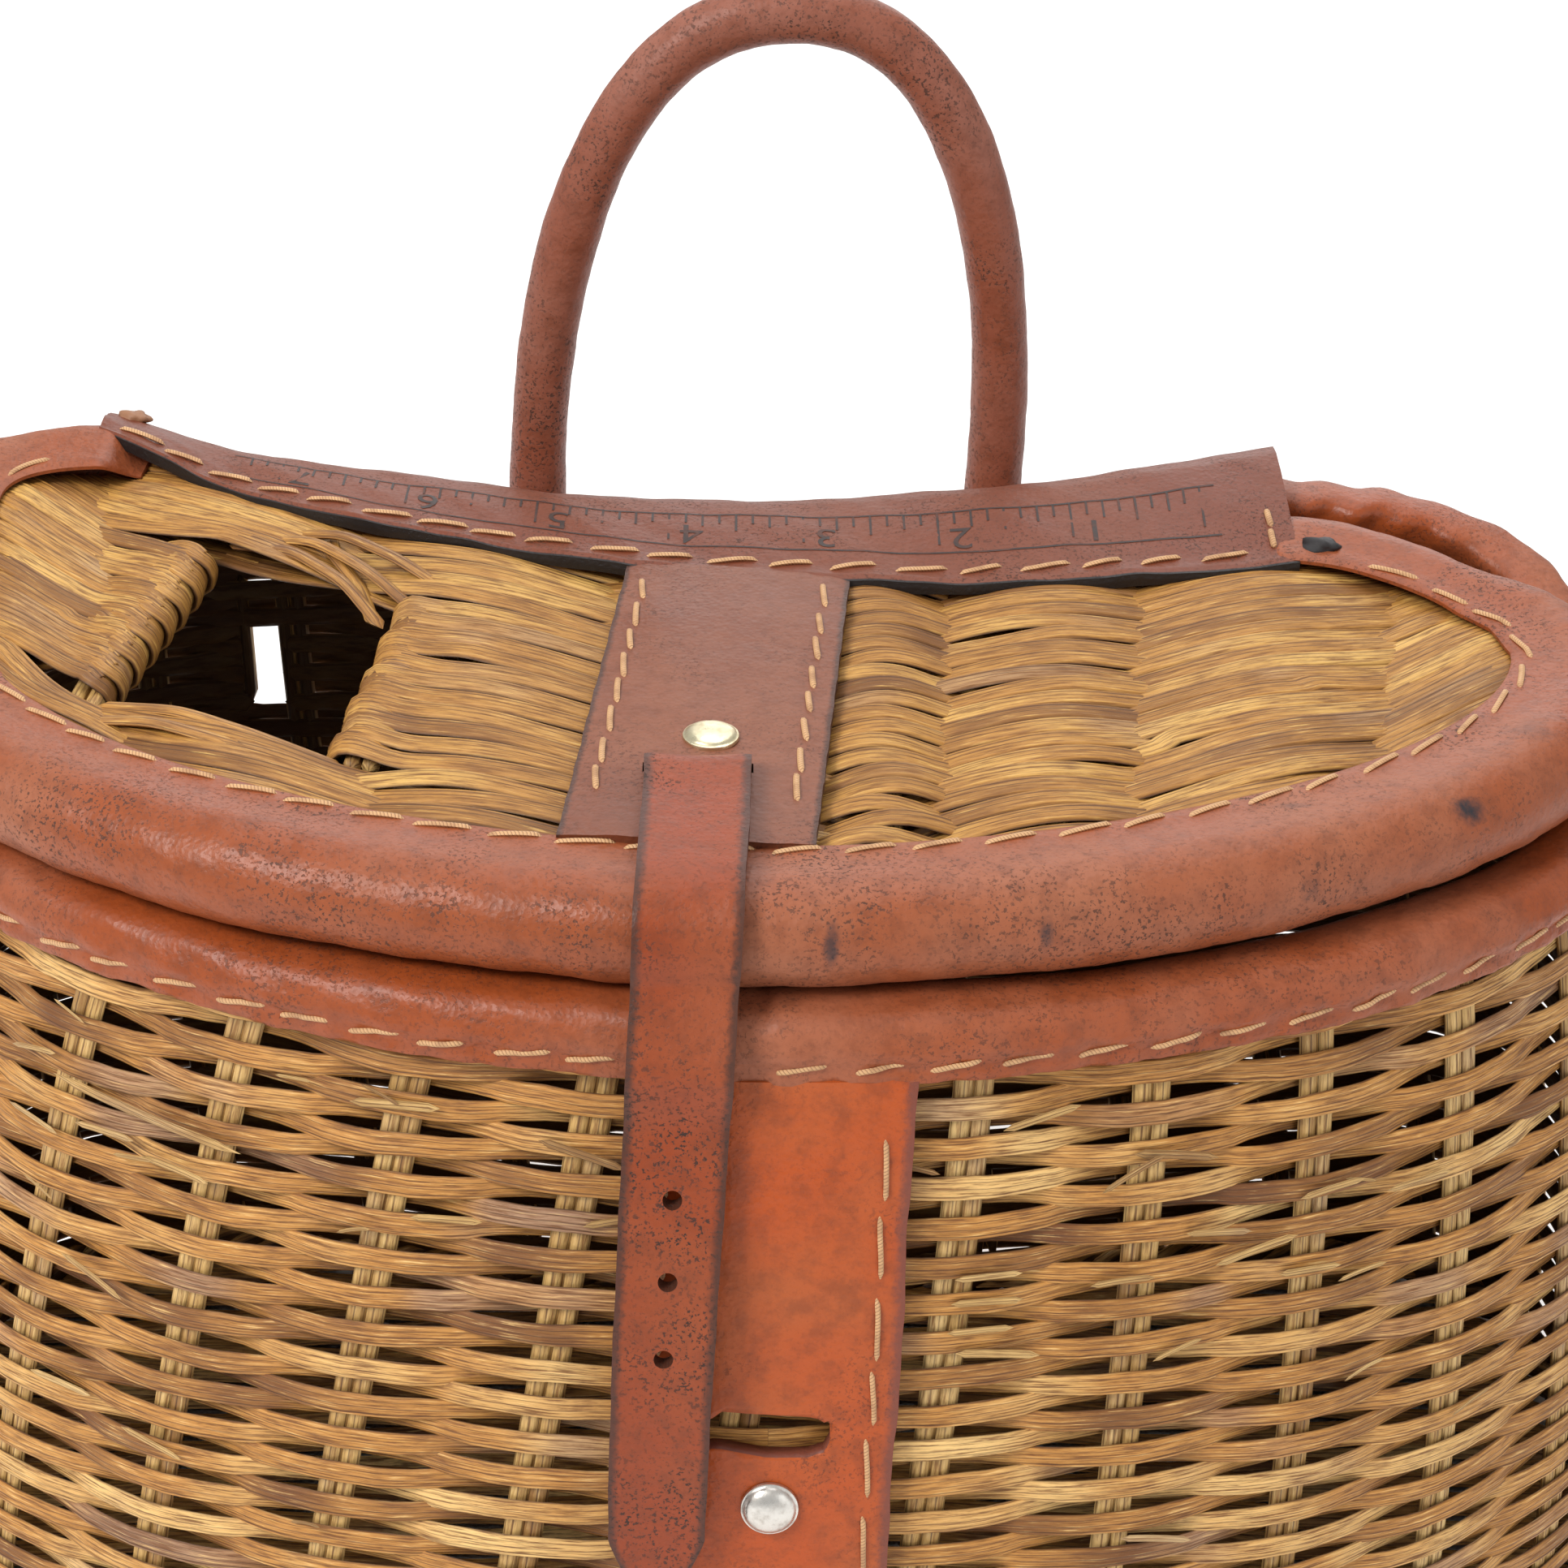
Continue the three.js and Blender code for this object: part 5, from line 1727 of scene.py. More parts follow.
@dataclass
class LidRim(Part):
    """The thick leather roll round the lid's front and sides."""

    columns: int = 481
    spread: tuple[Row, ...] = (
        (-0.4, 12.0), (-0.36, 10.5), (-0.33, 8.0), (-0.29, 2.5), (-0.25, 0.0), (0.0, 0.0), (0.28, 0.0),
        (0.299, 2.5), (0.31, 8.0), (0.321, 13.0), (0.333, 17.0), (0.35, 18.5), (0.4, 18.5),
    )
    rises: tuple[Row, ...] = (
        (-0.4, 4.2), (-0.36, 3.8), (-0.32, 2.2), (-0.27, 0.0), (0.0, 0.0), (0.29, 0.0), (0.34, 1.2),
        (0.4, 1.5),
    )

    @staticmethod
    def read(table: Sequence[Row], places: Array) -> Array:
        """Reads a table of places round the lid, counted from its front's middle."""
        return read_table(table, np.mod(places + 0.5, 1.0) - 0.5)

    def section(self) -> Array:
        """The flange, the roll and the lower flange as one closed section."""
        radius, rise = self.shape.roll_radius, self.shape.roll_rise
        middle = rise - radius
        corners = [(-23.0, 0.3), (-23.2, 1.6), (-21.0, 2.1), (-17.0, 2.2), (-13.0, 2.9), (-11.0, 3.3)]
        for degrees in (90, 70, 50, 30, 10, -10, -30, -50, -70, -90, -115):
            angle = math.radians(degrees)
            corners.append((-radius + radius * math.cos(angle), middle + radius * math.sin(angle)))
        corners += [(-19.0, -7.9), (-19.0, -6.3), (-10.3, -6.3), (-10.3, 0.3)]
        return MeshKit.section(corners, 64, 1)

    def ends(self) -> tuple[float, float]:
        """The places where the roll runs in under the strip, right and left."""
        loop = self.shape.lid_plan.loop()
        right = loop.place_of_x(self.shape.strip_right - self.shape.lid_shift - 13.0, 0.28, 0.5)
        left = loop.place_of_x(self.shape.strip_left - self.shape.lid_shift + 9.5, 0.5, 0.72)
        return right, left - 1.0

    def surface(self, places: Array, out: Array, up: Array) -> Array:
        """Points on the roll.

        Args:
            places: shares of the way round the lid.
            out: distances out from the lid's outline.
            up: heights over the lid's top.

        Returns:
            Points in the world.
        """
        loop = self.shape.lid_plan.loop()
        reach = out + self.read(self.spread, places)
        flat = loop.point(places) + loop.outward(places) * reach[:, None]
        flat[:, 0] += self.shape.lid_shift
        return self.shape.placed(flat, self.shape.lid_top + up + self.read(self.rises, places))

    def relief(self, places: Array, out: Array, up: Array) -> Array:
        """How far the leather stands proud: soft dents along the roll."""
        roll = soft_step(-16.0, -10.0, out)
        return roll * (0.35 * ripple(places, 61, 0.1) + 0.16 * ripple(places + up * 0.002, 62, 0.023))

    def build(self) -> None:
        """Builds and dresses the roll and its stitches."""
        section = self.section()
        right, left = self.ends()
        middle = np.array([-9.0, self.shape.roll_rise - 9.0])

        def place(column: Array, row: Array) -> Array:
            """Points of the roll, tucked in at its ends."""
            share = column / (self.columns - 1)
            places = left + (right - left) * share
            out, up = section[row, 0], section[row, 1]
            proud = self.relief(places, out, up)
            away = np.column_stack([out, up]) - middle
            away = away / np.maximum(np.linalg.norm(away, axis=1, keepdims=True), 3.0)
            tuck = 1 - np.minimum(soft_step(0.0, 0.012, share), 1 - soft_step(0.982, 0.996, share))
            shrink = 1 - 0.45 * tuck
            out = middle[0] + (out - middle[0]) * shrink + proud * away[:, 0]
            up = middle[1] + (up - middle[1]) * shrink + proud * away[:, 1] - 2.0 * tuck
            return self.surface(places, out, up)

        leather = MeshKit.grid("lid_roll", self.columns, len(section), place, cap=True)
        mount(leather, self.palette.rim, "lid_rim")
        places = np.linspace(left + 0.022, right - 0.02, 1400)
        path = self.surface(places, np.full_like(places, -20.0), np.full_like(places, 1.95))
        normal = facing((0, 0, 1), len(places))
        self.sew(Stitches(9.6, 11.4, 0.55, 1.7), "roll_stitches", path, normal, 5, Slot.RIM, "lid_rim")


@dataclass
class HingeStrip(Part):
    """The strip along the back with its black edge, its scale in inches and its stitches."""

    lift: float = 9.0
    inch: float = 25.4
    zero_at: float = 82.2
    lifts: tuple[Row, ...] = ((0.0, -0.25), (0.2, -0.15), (0.5, 0.0), (0.75, 0.4), (1.0, 0.75))
    corners: tuple[tuple[float, float, float], ...] = (
        (0.0, 0.0, 0.0), (-0.004, 0.0, 1.1), (0.0, 0.0, 2.2), (0.045, 0.0, 2.7), (0.09, 0.02, 2.5),
        (0.15, 0.06, 2.45), (0.3, 0.22, 2.8), (0.5, 0.45, 3.2), (0.7, 0.7, 3.1), (0.85, 0.9, 2.7),
        (0.95, 1.0, 1.7), (1.0, 1.0, 0.2), (1.01, 1.0, -2.2), (0.94, 1.0, -2.2),
        (0.88, 0.93, 0.1), (0.5, 0.45, 1.0), (0.13, 0.05, 0.0),
    )

    def surface(self, x: Array, back: Array, lift: Array, up: Array) -> Array:
        """Points on the strip.

        Args:
            x: places along the strip in the world.
            back: shares of the width behind the front edge.
            lift: shares of the strip's lift.
            up: heights over its underside.

        Returns:
            Points in millimetres.
        """
        rise = self.lift * read_table(self.lifts, self.shape.strip_share(x))
        wavy = 0.7 * ripple(x, 71, 61.0) * (1 - back)
        bump = 0.35 * ripple(x + 40 * back, 72, 47.0)
        y = self.shape.strip_front(x) + self.shape.strip_width(x) * back + wavy
        end = 4.4 * (1 - soft_step(-133.0, -104.0, x))
        z = self.shape.lid_top + self.shape.seat + up + rise * lift + bump * np.clip(up, 0, 1) + end
        return np.column_stack([x, y, z])

    def top(self, x: Array, back: Array, proud: float) -> Array:
        """Points just over the strip's upper face.

        Args:
            x: places along the strip.
            back: shares of the width behind the front edge.
            proud: the height over the leather.

        Returns:
            Points in the world.
        """
        marks = np.array(self.corners)[3:10]
        up = np.interp(back, marks[:, 0], marks[:, 2])
        lift = np.interp(back, marks[:, 0], marks[:, 1])
        return self.surface(x, back, lift, up + proud)

    def leather(self) -> Thing:
        """The strip itself."""
        ends = np.array(list(self.corners) + [self.corners[0]])
        marks = np.linspace(0.0, 1.0, len(ends))
        fine = np.linspace(0.0, 1.0, 69)
        section = sampled(fine, marks, ends)
        columns = 200
        left, right = self.shape.strip_left, self.shape.strip_right

        def place(column: Array, row: Array) -> Array:
            """Points of the strip."""
            x = left + (right - left) * column / (columns - 1)
            return self.surface(x, section[row, 0], section[row, 1], section[row, 2])

        def uv(column: Array, row: Array) -> Array:
            """The share along and round the strip."""
            return np.stack([column / (columns - 1), fine[row]], axis=1)

        return MeshKit.grid("hinge_strip_leather", columns, len(section), place, uv, cap=True)

    def ticks(self) -> Thing:
        """The scale's two lines and its ticks."""
        marks: list[tuple[float, float, float, float]] = [
            (self.zero_at - 7.4 * self.inch, self.zero_at + 3.0, 0.285, 0.298),
            (self.zero_at - 7.4 * self.inch, self.zero_at + 3.0, 0.655, 0.668),
        ]
        for eighth in range(0, 59):
            x = self.zero_at - eighth * self.inch / 8
            reach = {0: 0.3, 4: 0.2}.get(eighth % 8, 0.15 if eighth % 2 == 0 else 0.11)
            marks.append((x - 0.22, x + 0.22, 0.66 - reach, 0.66))
        pieces = 60
        spans = np.array(marks)

        def place(column: Array, row: Array) -> Array:
            """Points of the marks."""
            mark = spans[row // 2]
            x = mark[:, 0] + (mark[:, 1] - mark[:, 0]) * column / (pieces - 1)
            back = np.where(row % 2 == 0, mark[:, 2], mark[:, 3])
            return self.top(x, back, 0.1)

        def keep(column: Array, row: Array) -> Array:
            """Leaves out the faces between two marks."""
            return row % 2 == 0

        return MeshKit.grid("strip_scale", pieces, 2 * len(marks), place, keep=keep, weld=1e-8)

    def numerals(self) -> Thing:
        """The numbers beside the inch ticks, which read from behind."""
        bm = bmesh.new()
        for number in range(1, 8):
            curve = bpy.data.curves.new("numeral", "FONT")
            curve.body = str(number)
            curve.size = 9.5
            curve.align_x = "CENTER"
            curve.resolution_u = 3
            text = MeshKit.linked("numeral", curve)
            graph = bpy.context.evaluated_depsgraph_get()
            mesh = bpy.data.meshes.new_from_object(text.evaluated_get(graph))
            flat = np.zeros(len(mesh.vertices) * 3, np.float32)
            mesh.vertices.foreach_get("co", flat)
            flat = flat.reshape(-1, 3)
            x = self.zero_at - number * self.inch + 4.2 - flat[:, 0]
            back = 0.315 + (6.8 - flat[:, 1]) / self.shape.strip_width(x)
            points = self.top(x, back, 0.1) * MM
            mesh.vertices.foreach_set("co", points.astype(np.float32).ravel())
            bm.from_mesh(mesh)
            bpy.data.objects.remove(text)
        return MeshKit.solid("strip_numerals", bm)

    def knot(self, name: str, at: tuple[float, float, float], radius: float,
             material: bpy.types.Material) -> None:
        """A lump of knotted thread at one end of the seam.

        Args:
            name: the object's name.
            at: its middle in millimetres.
            radius: its size.
            material: its thread.
        """
        bm = bmesh.new()
        bmesh.ops.create_icosphere(bm, subdivisions=3, radius=radius * MM)
        for vert in bm.verts:
            x, y, z = vert.co / (radius * MM)
            lump = 1 + 0.22 * math.sin(5 * x + 3 * y) * math.cos(4 * z - 2 * x)
            vert.co = Vector((x * 1.5, y, z * 0.62)) * lump * radius * MM
        bmesh.ops.translate(bm, verts=bm.verts, vec=Vector(at) * MM)
        mount(MeshKit.solid(name, bm, 180.0), material, "hinge_strip")

    def build(self) -> None:
        """Builds and dresses the strip."""
        left, right = self.shape.strip_left, self.shape.strip_right
        mount(self.leather(), self.palette.strip, "hinge_strip")
        mount(self.ticks(), self.palette.ink, "hinge_strip")
        mount(self.numerals(), self.palette.ink, "hinge_strip")
        x = np.linspace(left + 4, right - 4, 700)
        back = 4.6 / self.shape.strip_width(x)
        normal = facing((0, -0.1, 1), len(x))
        down = np.linspace(0.14, 0.5, 60)
        end = np.full_like(down, right - 4.2)
        for stitches, name, path, seed in (
            (Stitches(9.6, 11.6, 0.55, 1.9), "strip_stitches", self.top(x, back, 0.0), 7),
            (Stitches(4.6, 5.6, 0.6, 0.3), "strip_end_stitches", self.top(end, down, 0.0), 8),
        ):
            self.sew(stitches, name, path, normal[:len(path)], seed, Slot.BAND, "hinge_strip")
        for name, x, back, size, material in (
            ("strip_knot_left", left + 5.0, 0.82, 2.3, self.palette.thread),
            ("strip_knot_right", right + 4.5, 0.08, 2.5, self.palette.tar),
        ):
            spot = self.top(np.array([x]), np.array([back]), 0.2)[0]
            self.knot(name, tuple(float(value) for value in spot), size, material)


@dataclass
class LidBand(Part):
    """The leather band across the lid's middle, with the strap's slot."""

    half: float = 20.5
    back_middle: float = -2.6
    front_middle: float = -10.7
    slot_at: float = -47.6
    slot_middle: float = -12.6
    slot_half: float = 9.1
    slot_gap: float = 3.0

    def ends(self, across: Array) -> tuple[Array, Array]:
        """The band's front and back points for shares of its half width.

        Args:
            across: shares from -1 to 1.

        Returns:
            The points on the front edge and on the back edge.
        """
        front_x = self.front_middle + across * self.half
        plan = self.shape.lid_plan
        slope = (plan.front_depth(front_x + 1) - plan.front_depth(front_x - 1)) / 2
        front_y = plan.front_depth(front_x) + 21.0 * np.hypot(1.0, slope) + self.shape.side_line
        back_x = self.back_middle + across * self.half + self.shape.lid_shift
        back_y = self.shape.strip_front(back_x) + 1.5
        front = np.column_stack([front_x + self.shape.lid_shift, front_y])
        return front, np.column_stack([back_x, back_y])

    def surface(self, across: Array, along: Array, up: Array) -> Array:
        """Points on the band.

        Args:
            across: shares of the half width.
            along: shares of the way from front to back.
            up: heights over its underside.

        Returns:
            Points in the world.
        """
        front, back = self.ends(across)
        flat = front + (back - front) * along[:, None]
        wave = 0.5 * ripple(along, 81, 0.9) + 0.35 * ripple(across + along, 82, 0.8)
        dome = 0.9 * (1 - across**2)
        z = self.shape.lid_top + 0.5 + up + dome + 0.5 * wave
        return np.column_stack([flat, z])

    def build(self) -> None:
        """Builds and dresses the band and its stitches."""
        section = MeshKit.slab(2.0, 84)
        columns = 90

        def place(column: Array, row: Array) -> Array:
            """Points of the band."""
            rag = 1 + 0.006 * ripple(column / columns, 83, 0.12)
            return self.surface(section[row, 0] * rag, column / (columns - 1), section[row, 1])

        leather = MeshKit.grid("lid_band_leather", columns, len(section), place,
                               MeshKit.across_uv(columns, section), cap=True)
        bm = bmesh.new()
        bmesh.ops.create_cube(bm, size=1.0)
        matrix = Matrix.Translation(Vector((
            self.slot_middle, self.slot_at + self.shape.side_line, self.shape.lid_top)) * MM)
        scale = Matrix.Diagonal(Vector((2 * self.slot_half, self.slot_gap, 14.0, 1000.0)) * MM)
        bmesh.ops.transform(bm, matrix=matrix @ scale, verts=bm.verts)
        MeshKit.cut(leather, MeshKit.solid("slot_cutter", bm))
        mount(leather, self.palette.band, "lid_band")
        along = np.linspace(0.14, 0.985, 400)
        normal = facing((0, 0, 1), len(along))
        self.sew_sides(
            Stitches(8.8, 9.8, 0.55, 0.9), "band_stitches",
            lambda across: self.surface(across, along, np.full_like(along, 1.95)),
            normal, 11, Slot.BAND, "lid_band",
        )


@dataclass
class FrontPanel(Part):
    """The leather panel down the front with its torn slot."""

    width: float = 43.5
    leather: float = 2.5
    top_middle: float = 0.8
    lean: float = 5.5
    foot: float = 14.0
    slot: tuple[float, float, float, float] = (-0.5, 126.2, 21.0, 7.0)

    def middle(self, height: Array) -> Array:
        """The panel's middle at a height."""
        return self.top_middle - self.lean * (1 - height / self.shape.wall_height)

    def surface(self, across: Array, height: Array, out: Array) -> Array:
        """Points on the panel, for shares of its half width.

        Args:
            across: shares of the half width.
            height: heights over the floor.
            out: distances out from its inner face.

        Returns:
            Points in the world.
        """
        x = self.middle(height) + across * self.width / 2
        x = x + 0.35 * ripple(height, 91, 47.0) * across
        wave = 0.35 * ripple(height, 92, 83.0) + 0.25 * ripple(height + 30 * across, 93, 39.0)
        y = self.shape.front_face(x, height) - self.shape.seat - out * (1 + 0.12 * wave) - 0.25 * wave
        return np.column_stack([x, y - 0.25, height])

    def build(self) -> None:
        """Builds and dresses the panel and its stitches."""
        section = MeshKit.slab(self.leather, 72)
        columns = 120
        top = self.shape.wall_height - self.shape.binding_drop + 1.0
        heights = np.linspace(top, self.foot, columns)

        def place(column: Array, row: Array) -> Array:
            """Points of the panel."""
            return self.surface(section[row, 0], heights[column], section[row, 1])

        hide = MeshKit.grid("front_panel_leather", columns, len(section), place,
                            MeshKit.across_uv(columns, section), cap=True)
        x, height, width, tall = self.slot
        sides = 24

        def tear(column: Array, row: Array) -> Array:
            """A ragged tube through the leather."""
            angle = 2 * math.pi * np.mod(column, sides) / sides
            square_x = signed_power(np.cos(angle), 0.3)
            square_z = signed_power(np.sin(angle), 0.5)
            rag = 1 + 0.3 * ripple(angle, 94, 1.7)
            depth = np.where(row == 0, -30.0, 30.0)
            face = float(self.shape.front_face(np.array([x]), np.array([height]))[0])
            return np.column_stack([x + square_x * width / 2, face + depth,
                                    height + square_z * rag * tall / 2])

        MeshKit.cut(hide, MeshKit.grid("tear_cutter", sides + 1, 2, tear, cap=True))
        mount(hide, self.palette.panel, "front_panel")
        down = np.linspace(178.0, self.foot + 4.0, 500)
        normal = facing((0, -1, 0.25), len(down))
        proud = np.full_like(down, self.leather - 0.05)
        self.sew_sides(
            Stitches(11.5, 13.5, 0.45, 0.8), "panel_stitches",
            lambda across: self.surface(across, down, proud), normal, 15, Slot.PANEL, "front_panel",
        )


@dataclass
class ClosingStrap(Part):
    """The tapered strap from the lid's slot over the roll and down the front."""

    width: float = 17.5
    tip_width: float = 15.5
    leather: float = 2.5
    middle: float = -12.6
    drift: float = 5.4
    tip: float = 96.0
    point: float = 14.0
    slack: float = 3.5
    slot_at: float = -47.6
    columns: int = 170
    holes: tuple[float, ...] = (170.6, 157.6, 144.8)

    def route(self) -> Array:
        """The strap's middle line as depth and height."""
        shape, half = self.shape, self.leather / 2
        roll_y = -shape.lid_plan.front + shape.roll_radius + shape.side_line
        roll_z = shape.lid_top + shape.roll_rise - shape.roll_radius
        reach = shape.roll_radius + shape.seat + half + 0.3
        flat = shape.lid_top + shape.seat + 2.0 + shape.seat + half + 0.9
        slot = self.slot_at + shape.side_line
        points = [(slot + 0.3, shape.lid_top - 2.0), (slot - 0.2, flat - 0.9), (slot - 2.6, flat + 0.9),
                  (slot - 12.0, flat + 0.3), (roll_y + 9.0, roll_z + reach)]
        for angle in np.linspace(math.pi / 2, -math.pi / 12, 9):
            points.append((roll_y - reach * math.cos(angle), roll_z + reach * math.sin(angle)))
        near = np.array([min(0.0, self.middle + self.width / 2)])
        start = shape.wall_height - shape.binding_drop * 0.45
        drop = shape.wall_height - shape.binding_drop
        bulge = float(shape.front_face(near, np.array([drop]))[0]) - shape.binding_bulge
        points.append((bulge - shape.binding_swell - shape.seat - half - 0.6, start))
        for step in range(1, 13):
            height = start + (self.tip - start) * step / 12
            slack = self.slack * math.sin(math.pi * step / 13) ** 2
            face = float(shape.front_face(near, np.array([height]))[0]) - shape.seat - self.leather
            points.append((face - shape.seat - half - slack - 0.7, height))
        return MeshKit.curve(points, self.columns, 3)

    def build(self) -> None:
        """Builds and dresses the strap."""
        route = self.route()
        run = run_along(route)
        whole = run[-1]
        along = unit(np.gradient(route, axis=0))
        thick = np.column_stack([-along[:, 1], along[:, 0]])
        section = MeshKit.section([(-1.0, -1.0), (1.0, -1.0), (1.0, 1.0), (-1.0, 1.0)], 56, 0)
        section = section * np.where(np.abs(section[:, :1]) > 0.96, [[1.0, 0.8]], [[1.0, 1.0]])

        def place(column: Array, row: Array) -> Array:
            """Points of the strap."""
            share = np.minimum(1.0, (whole - run[column]) / self.point)
            taper = self.width + (self.tip_width - self.width) * run[column] / whole
            rag = 1 + 0.012 * ripple(run[column], 101, 23.0)
            half = taper / 2 * (0.1 + 0.9 * share**0.7) * rag
            sway = self.middle - self.drift * soft_step(10.0, whole, run[column])
            cup = 0.5 * section[row, 0] ** 2
            away = section[row, 1] * self.leather / 2 - cup
            return np.column_stack([
                sway + section[row, 0] * half,
                route[column, 0] + thick[column, 0] * away,
                route[column, 1] + thick[column, 1] * away,
            ])

        hide = MeshKit.grid("strap_leather", self.columns, len(section), place,
                            MeshKit.across_uv(self.columns, section), cap=True)
        bm = bmesh.new()
        for height in self.holes:
            index = int(np.argmin(np.abs(route[:, 1] - height)))
            sway = self.middle - self.drift * float(soft_step(10.0, whole, run[index:index + 1])[0])
            matrix = Matrix.Translation(Vector((sway, route[index, 0], height)) * MM)
            turn = Matrix.Rotation(math.pi / 2, 4, "X")
            bmesh.ops.create_cone(bm, cap_ends=True, segments=20, radius1=1.55 * MM,
                                  radius2=1.55 * MM, depth=16 * MM, matrix=matrix @ turn)
        MeshKit.cut(hide, MeshKit.solid("hole_cutter", bm))
        mount(hide, self.palette.strap, "closing_strap")


@dataclass
class CarryHandle(Part):
    """The rolled handle with its two flat tabs."""

    radius: float = 5.6
    half_span: float = 46.0
    rise: float = 90.0
    roundness: float = 2.3
    lean: float = 4.0
    middle: float = -0.8
    gap: float = 6.0
    sides: int = 28
    samples: int = 300
    arch_steps: int = 60
    tab_width: float = 20.0
    tab_leather: float = 3.0
    tab_length: float = 48.0
    tab_drop: float = 38.0

    def plane(self) -> float:
        """The depth that the handle stands at."""
        shape = self.shape
        sides = (self.middle - self.half_span, self.middle + self.half_span)
        rim = [shape.back_face(x, shape.wall_height - shape.binding_drop)
               + shape.binding_bulge + shape.binding_swell for x in sides]
        ends = np.array(sides)
        strip = shape.strip_front(ends) + shape.strip_width(ends)
        return float(max(*rim, *strip)) + 3 * shape.seat + 5.5

    def leg(self, side: int) -> list[tuple[float, float, float, float, float]]:
        """One side's x, depth, height, flatness and trim, from the tab's foot up.

        Args:
            side: -1 for the left leg, 1 for the right one.

        Returns:
            One row of five values for each point.
        """
        x = self.middle + side * self.half_span
        plane, top = self.plane(), self.shape.lid_top - self.tab_drop
        foot = top - self.tab_length
        rows = []
        for start, foot_share, neck, swing, flat, trim in (
            (foot, 0.0, 0.0, 0.0, 1.0, 0.55), (foot, 0.35, 0.0, 0.0, 1.0, 0.85),
            (foot, 1.0, 0.0, 0.0, 1.0, 1.0), ((foot + top) / 2, 0.0, 0.0, 0.0, 1.0, 1.0),
            (top, 0.0, -0.21, 0.0, 1.0, 1.0), (top, 0.0, 0.43, 0.45, 0.55, 1.0),
            (top, 0.0, 1.0, 0.9, 0.15, 1.0),
        ):
            height = start + foot_share * 7.0 + neck * 14.0
            wall = self.shape.back_face(x, min(height, top)) + 0.6 + self.tab_leather / 2
            rows.append((x, wall + (plane - wall) * swing, height, flat, trim))
        rows.append((x, plane, self.shape.lid_top - self.gap, 0.0, 1.0))
        return rows

    def build(self) -> None:
        """Builds and dresses the handle."""
        plane, base = self.plane(), self.shape.lid_top - self.gap
        arch = []
        for step in range(1, self.arch_steps):
            angle = math.pi * (1 - step / self.arch_steps)
            across = math.copysign(abs(math.cos(angle)) ** (2 / self.roundness), math.cos(angle))
            up = math.sin(angle) ** (2 / self.roundness)
            arch.append((self.middle + across * self.half_span + self.lean * up, plane,
                         base + (self.rise + self.gap) * up, 0.0, 1.0))
        route = np.array(self.leg(-1) + arch + self.leg(1)[::-1])
        run = run_along(route[:, :3])
        at = np.linspace(0.0, run[-1], self.samples)
        path = softened(sampled(at, run, route), 6)
        along = unit(np.gradient(path[:, :3], axis=0))
        across = unit(np.cross(np.array([0.0, -1.0, 0.0]), along))
        slope = np.array([
            (self.shape.back_face(x + 10, z) - self.shape.back_face(x - 10, z)) / 20 * flat
            for x, _, z, flat, _ in path
        ])
        across[:, 1] = slope * across[:, 0]
        across = unit(across)
        thick = unit(np.cross(along, across))

        def place(column: Array, row: Array) -> Array:
            """Points of the handle."""
            flat, trim = path[column, 3], path[column, 4]
            angle = 2 * math.pi * np.mod(row, self.sides) / self.sides
            power = 1 + (0.35 - 1) * flat
            u, v = signed_power(np.cos(angle), power), signed_power(np.sin(angle), power)
            lump = 1 + (0.03 * ripple(at[column], 111, 61.0) + 0.012 * ripple(at[column], 112, 9.0))
            wide = (self.radius * lump * (1 - flat) + self.tab_width / 2 * trim * flat) * u
            deep = (self.radius * lump * (1 - flat) + self.tab_leather / 2 * flat) * v
            return path[column, :3] + across[column] * wide[:, None] + thick[column] * deep[:, None]

        hide = MeshKit.grid("handle_leather_roll", self.samples, self.sides + 1, place, cap=True)
        mount(hide, self.palette.handle, "carry_handle")


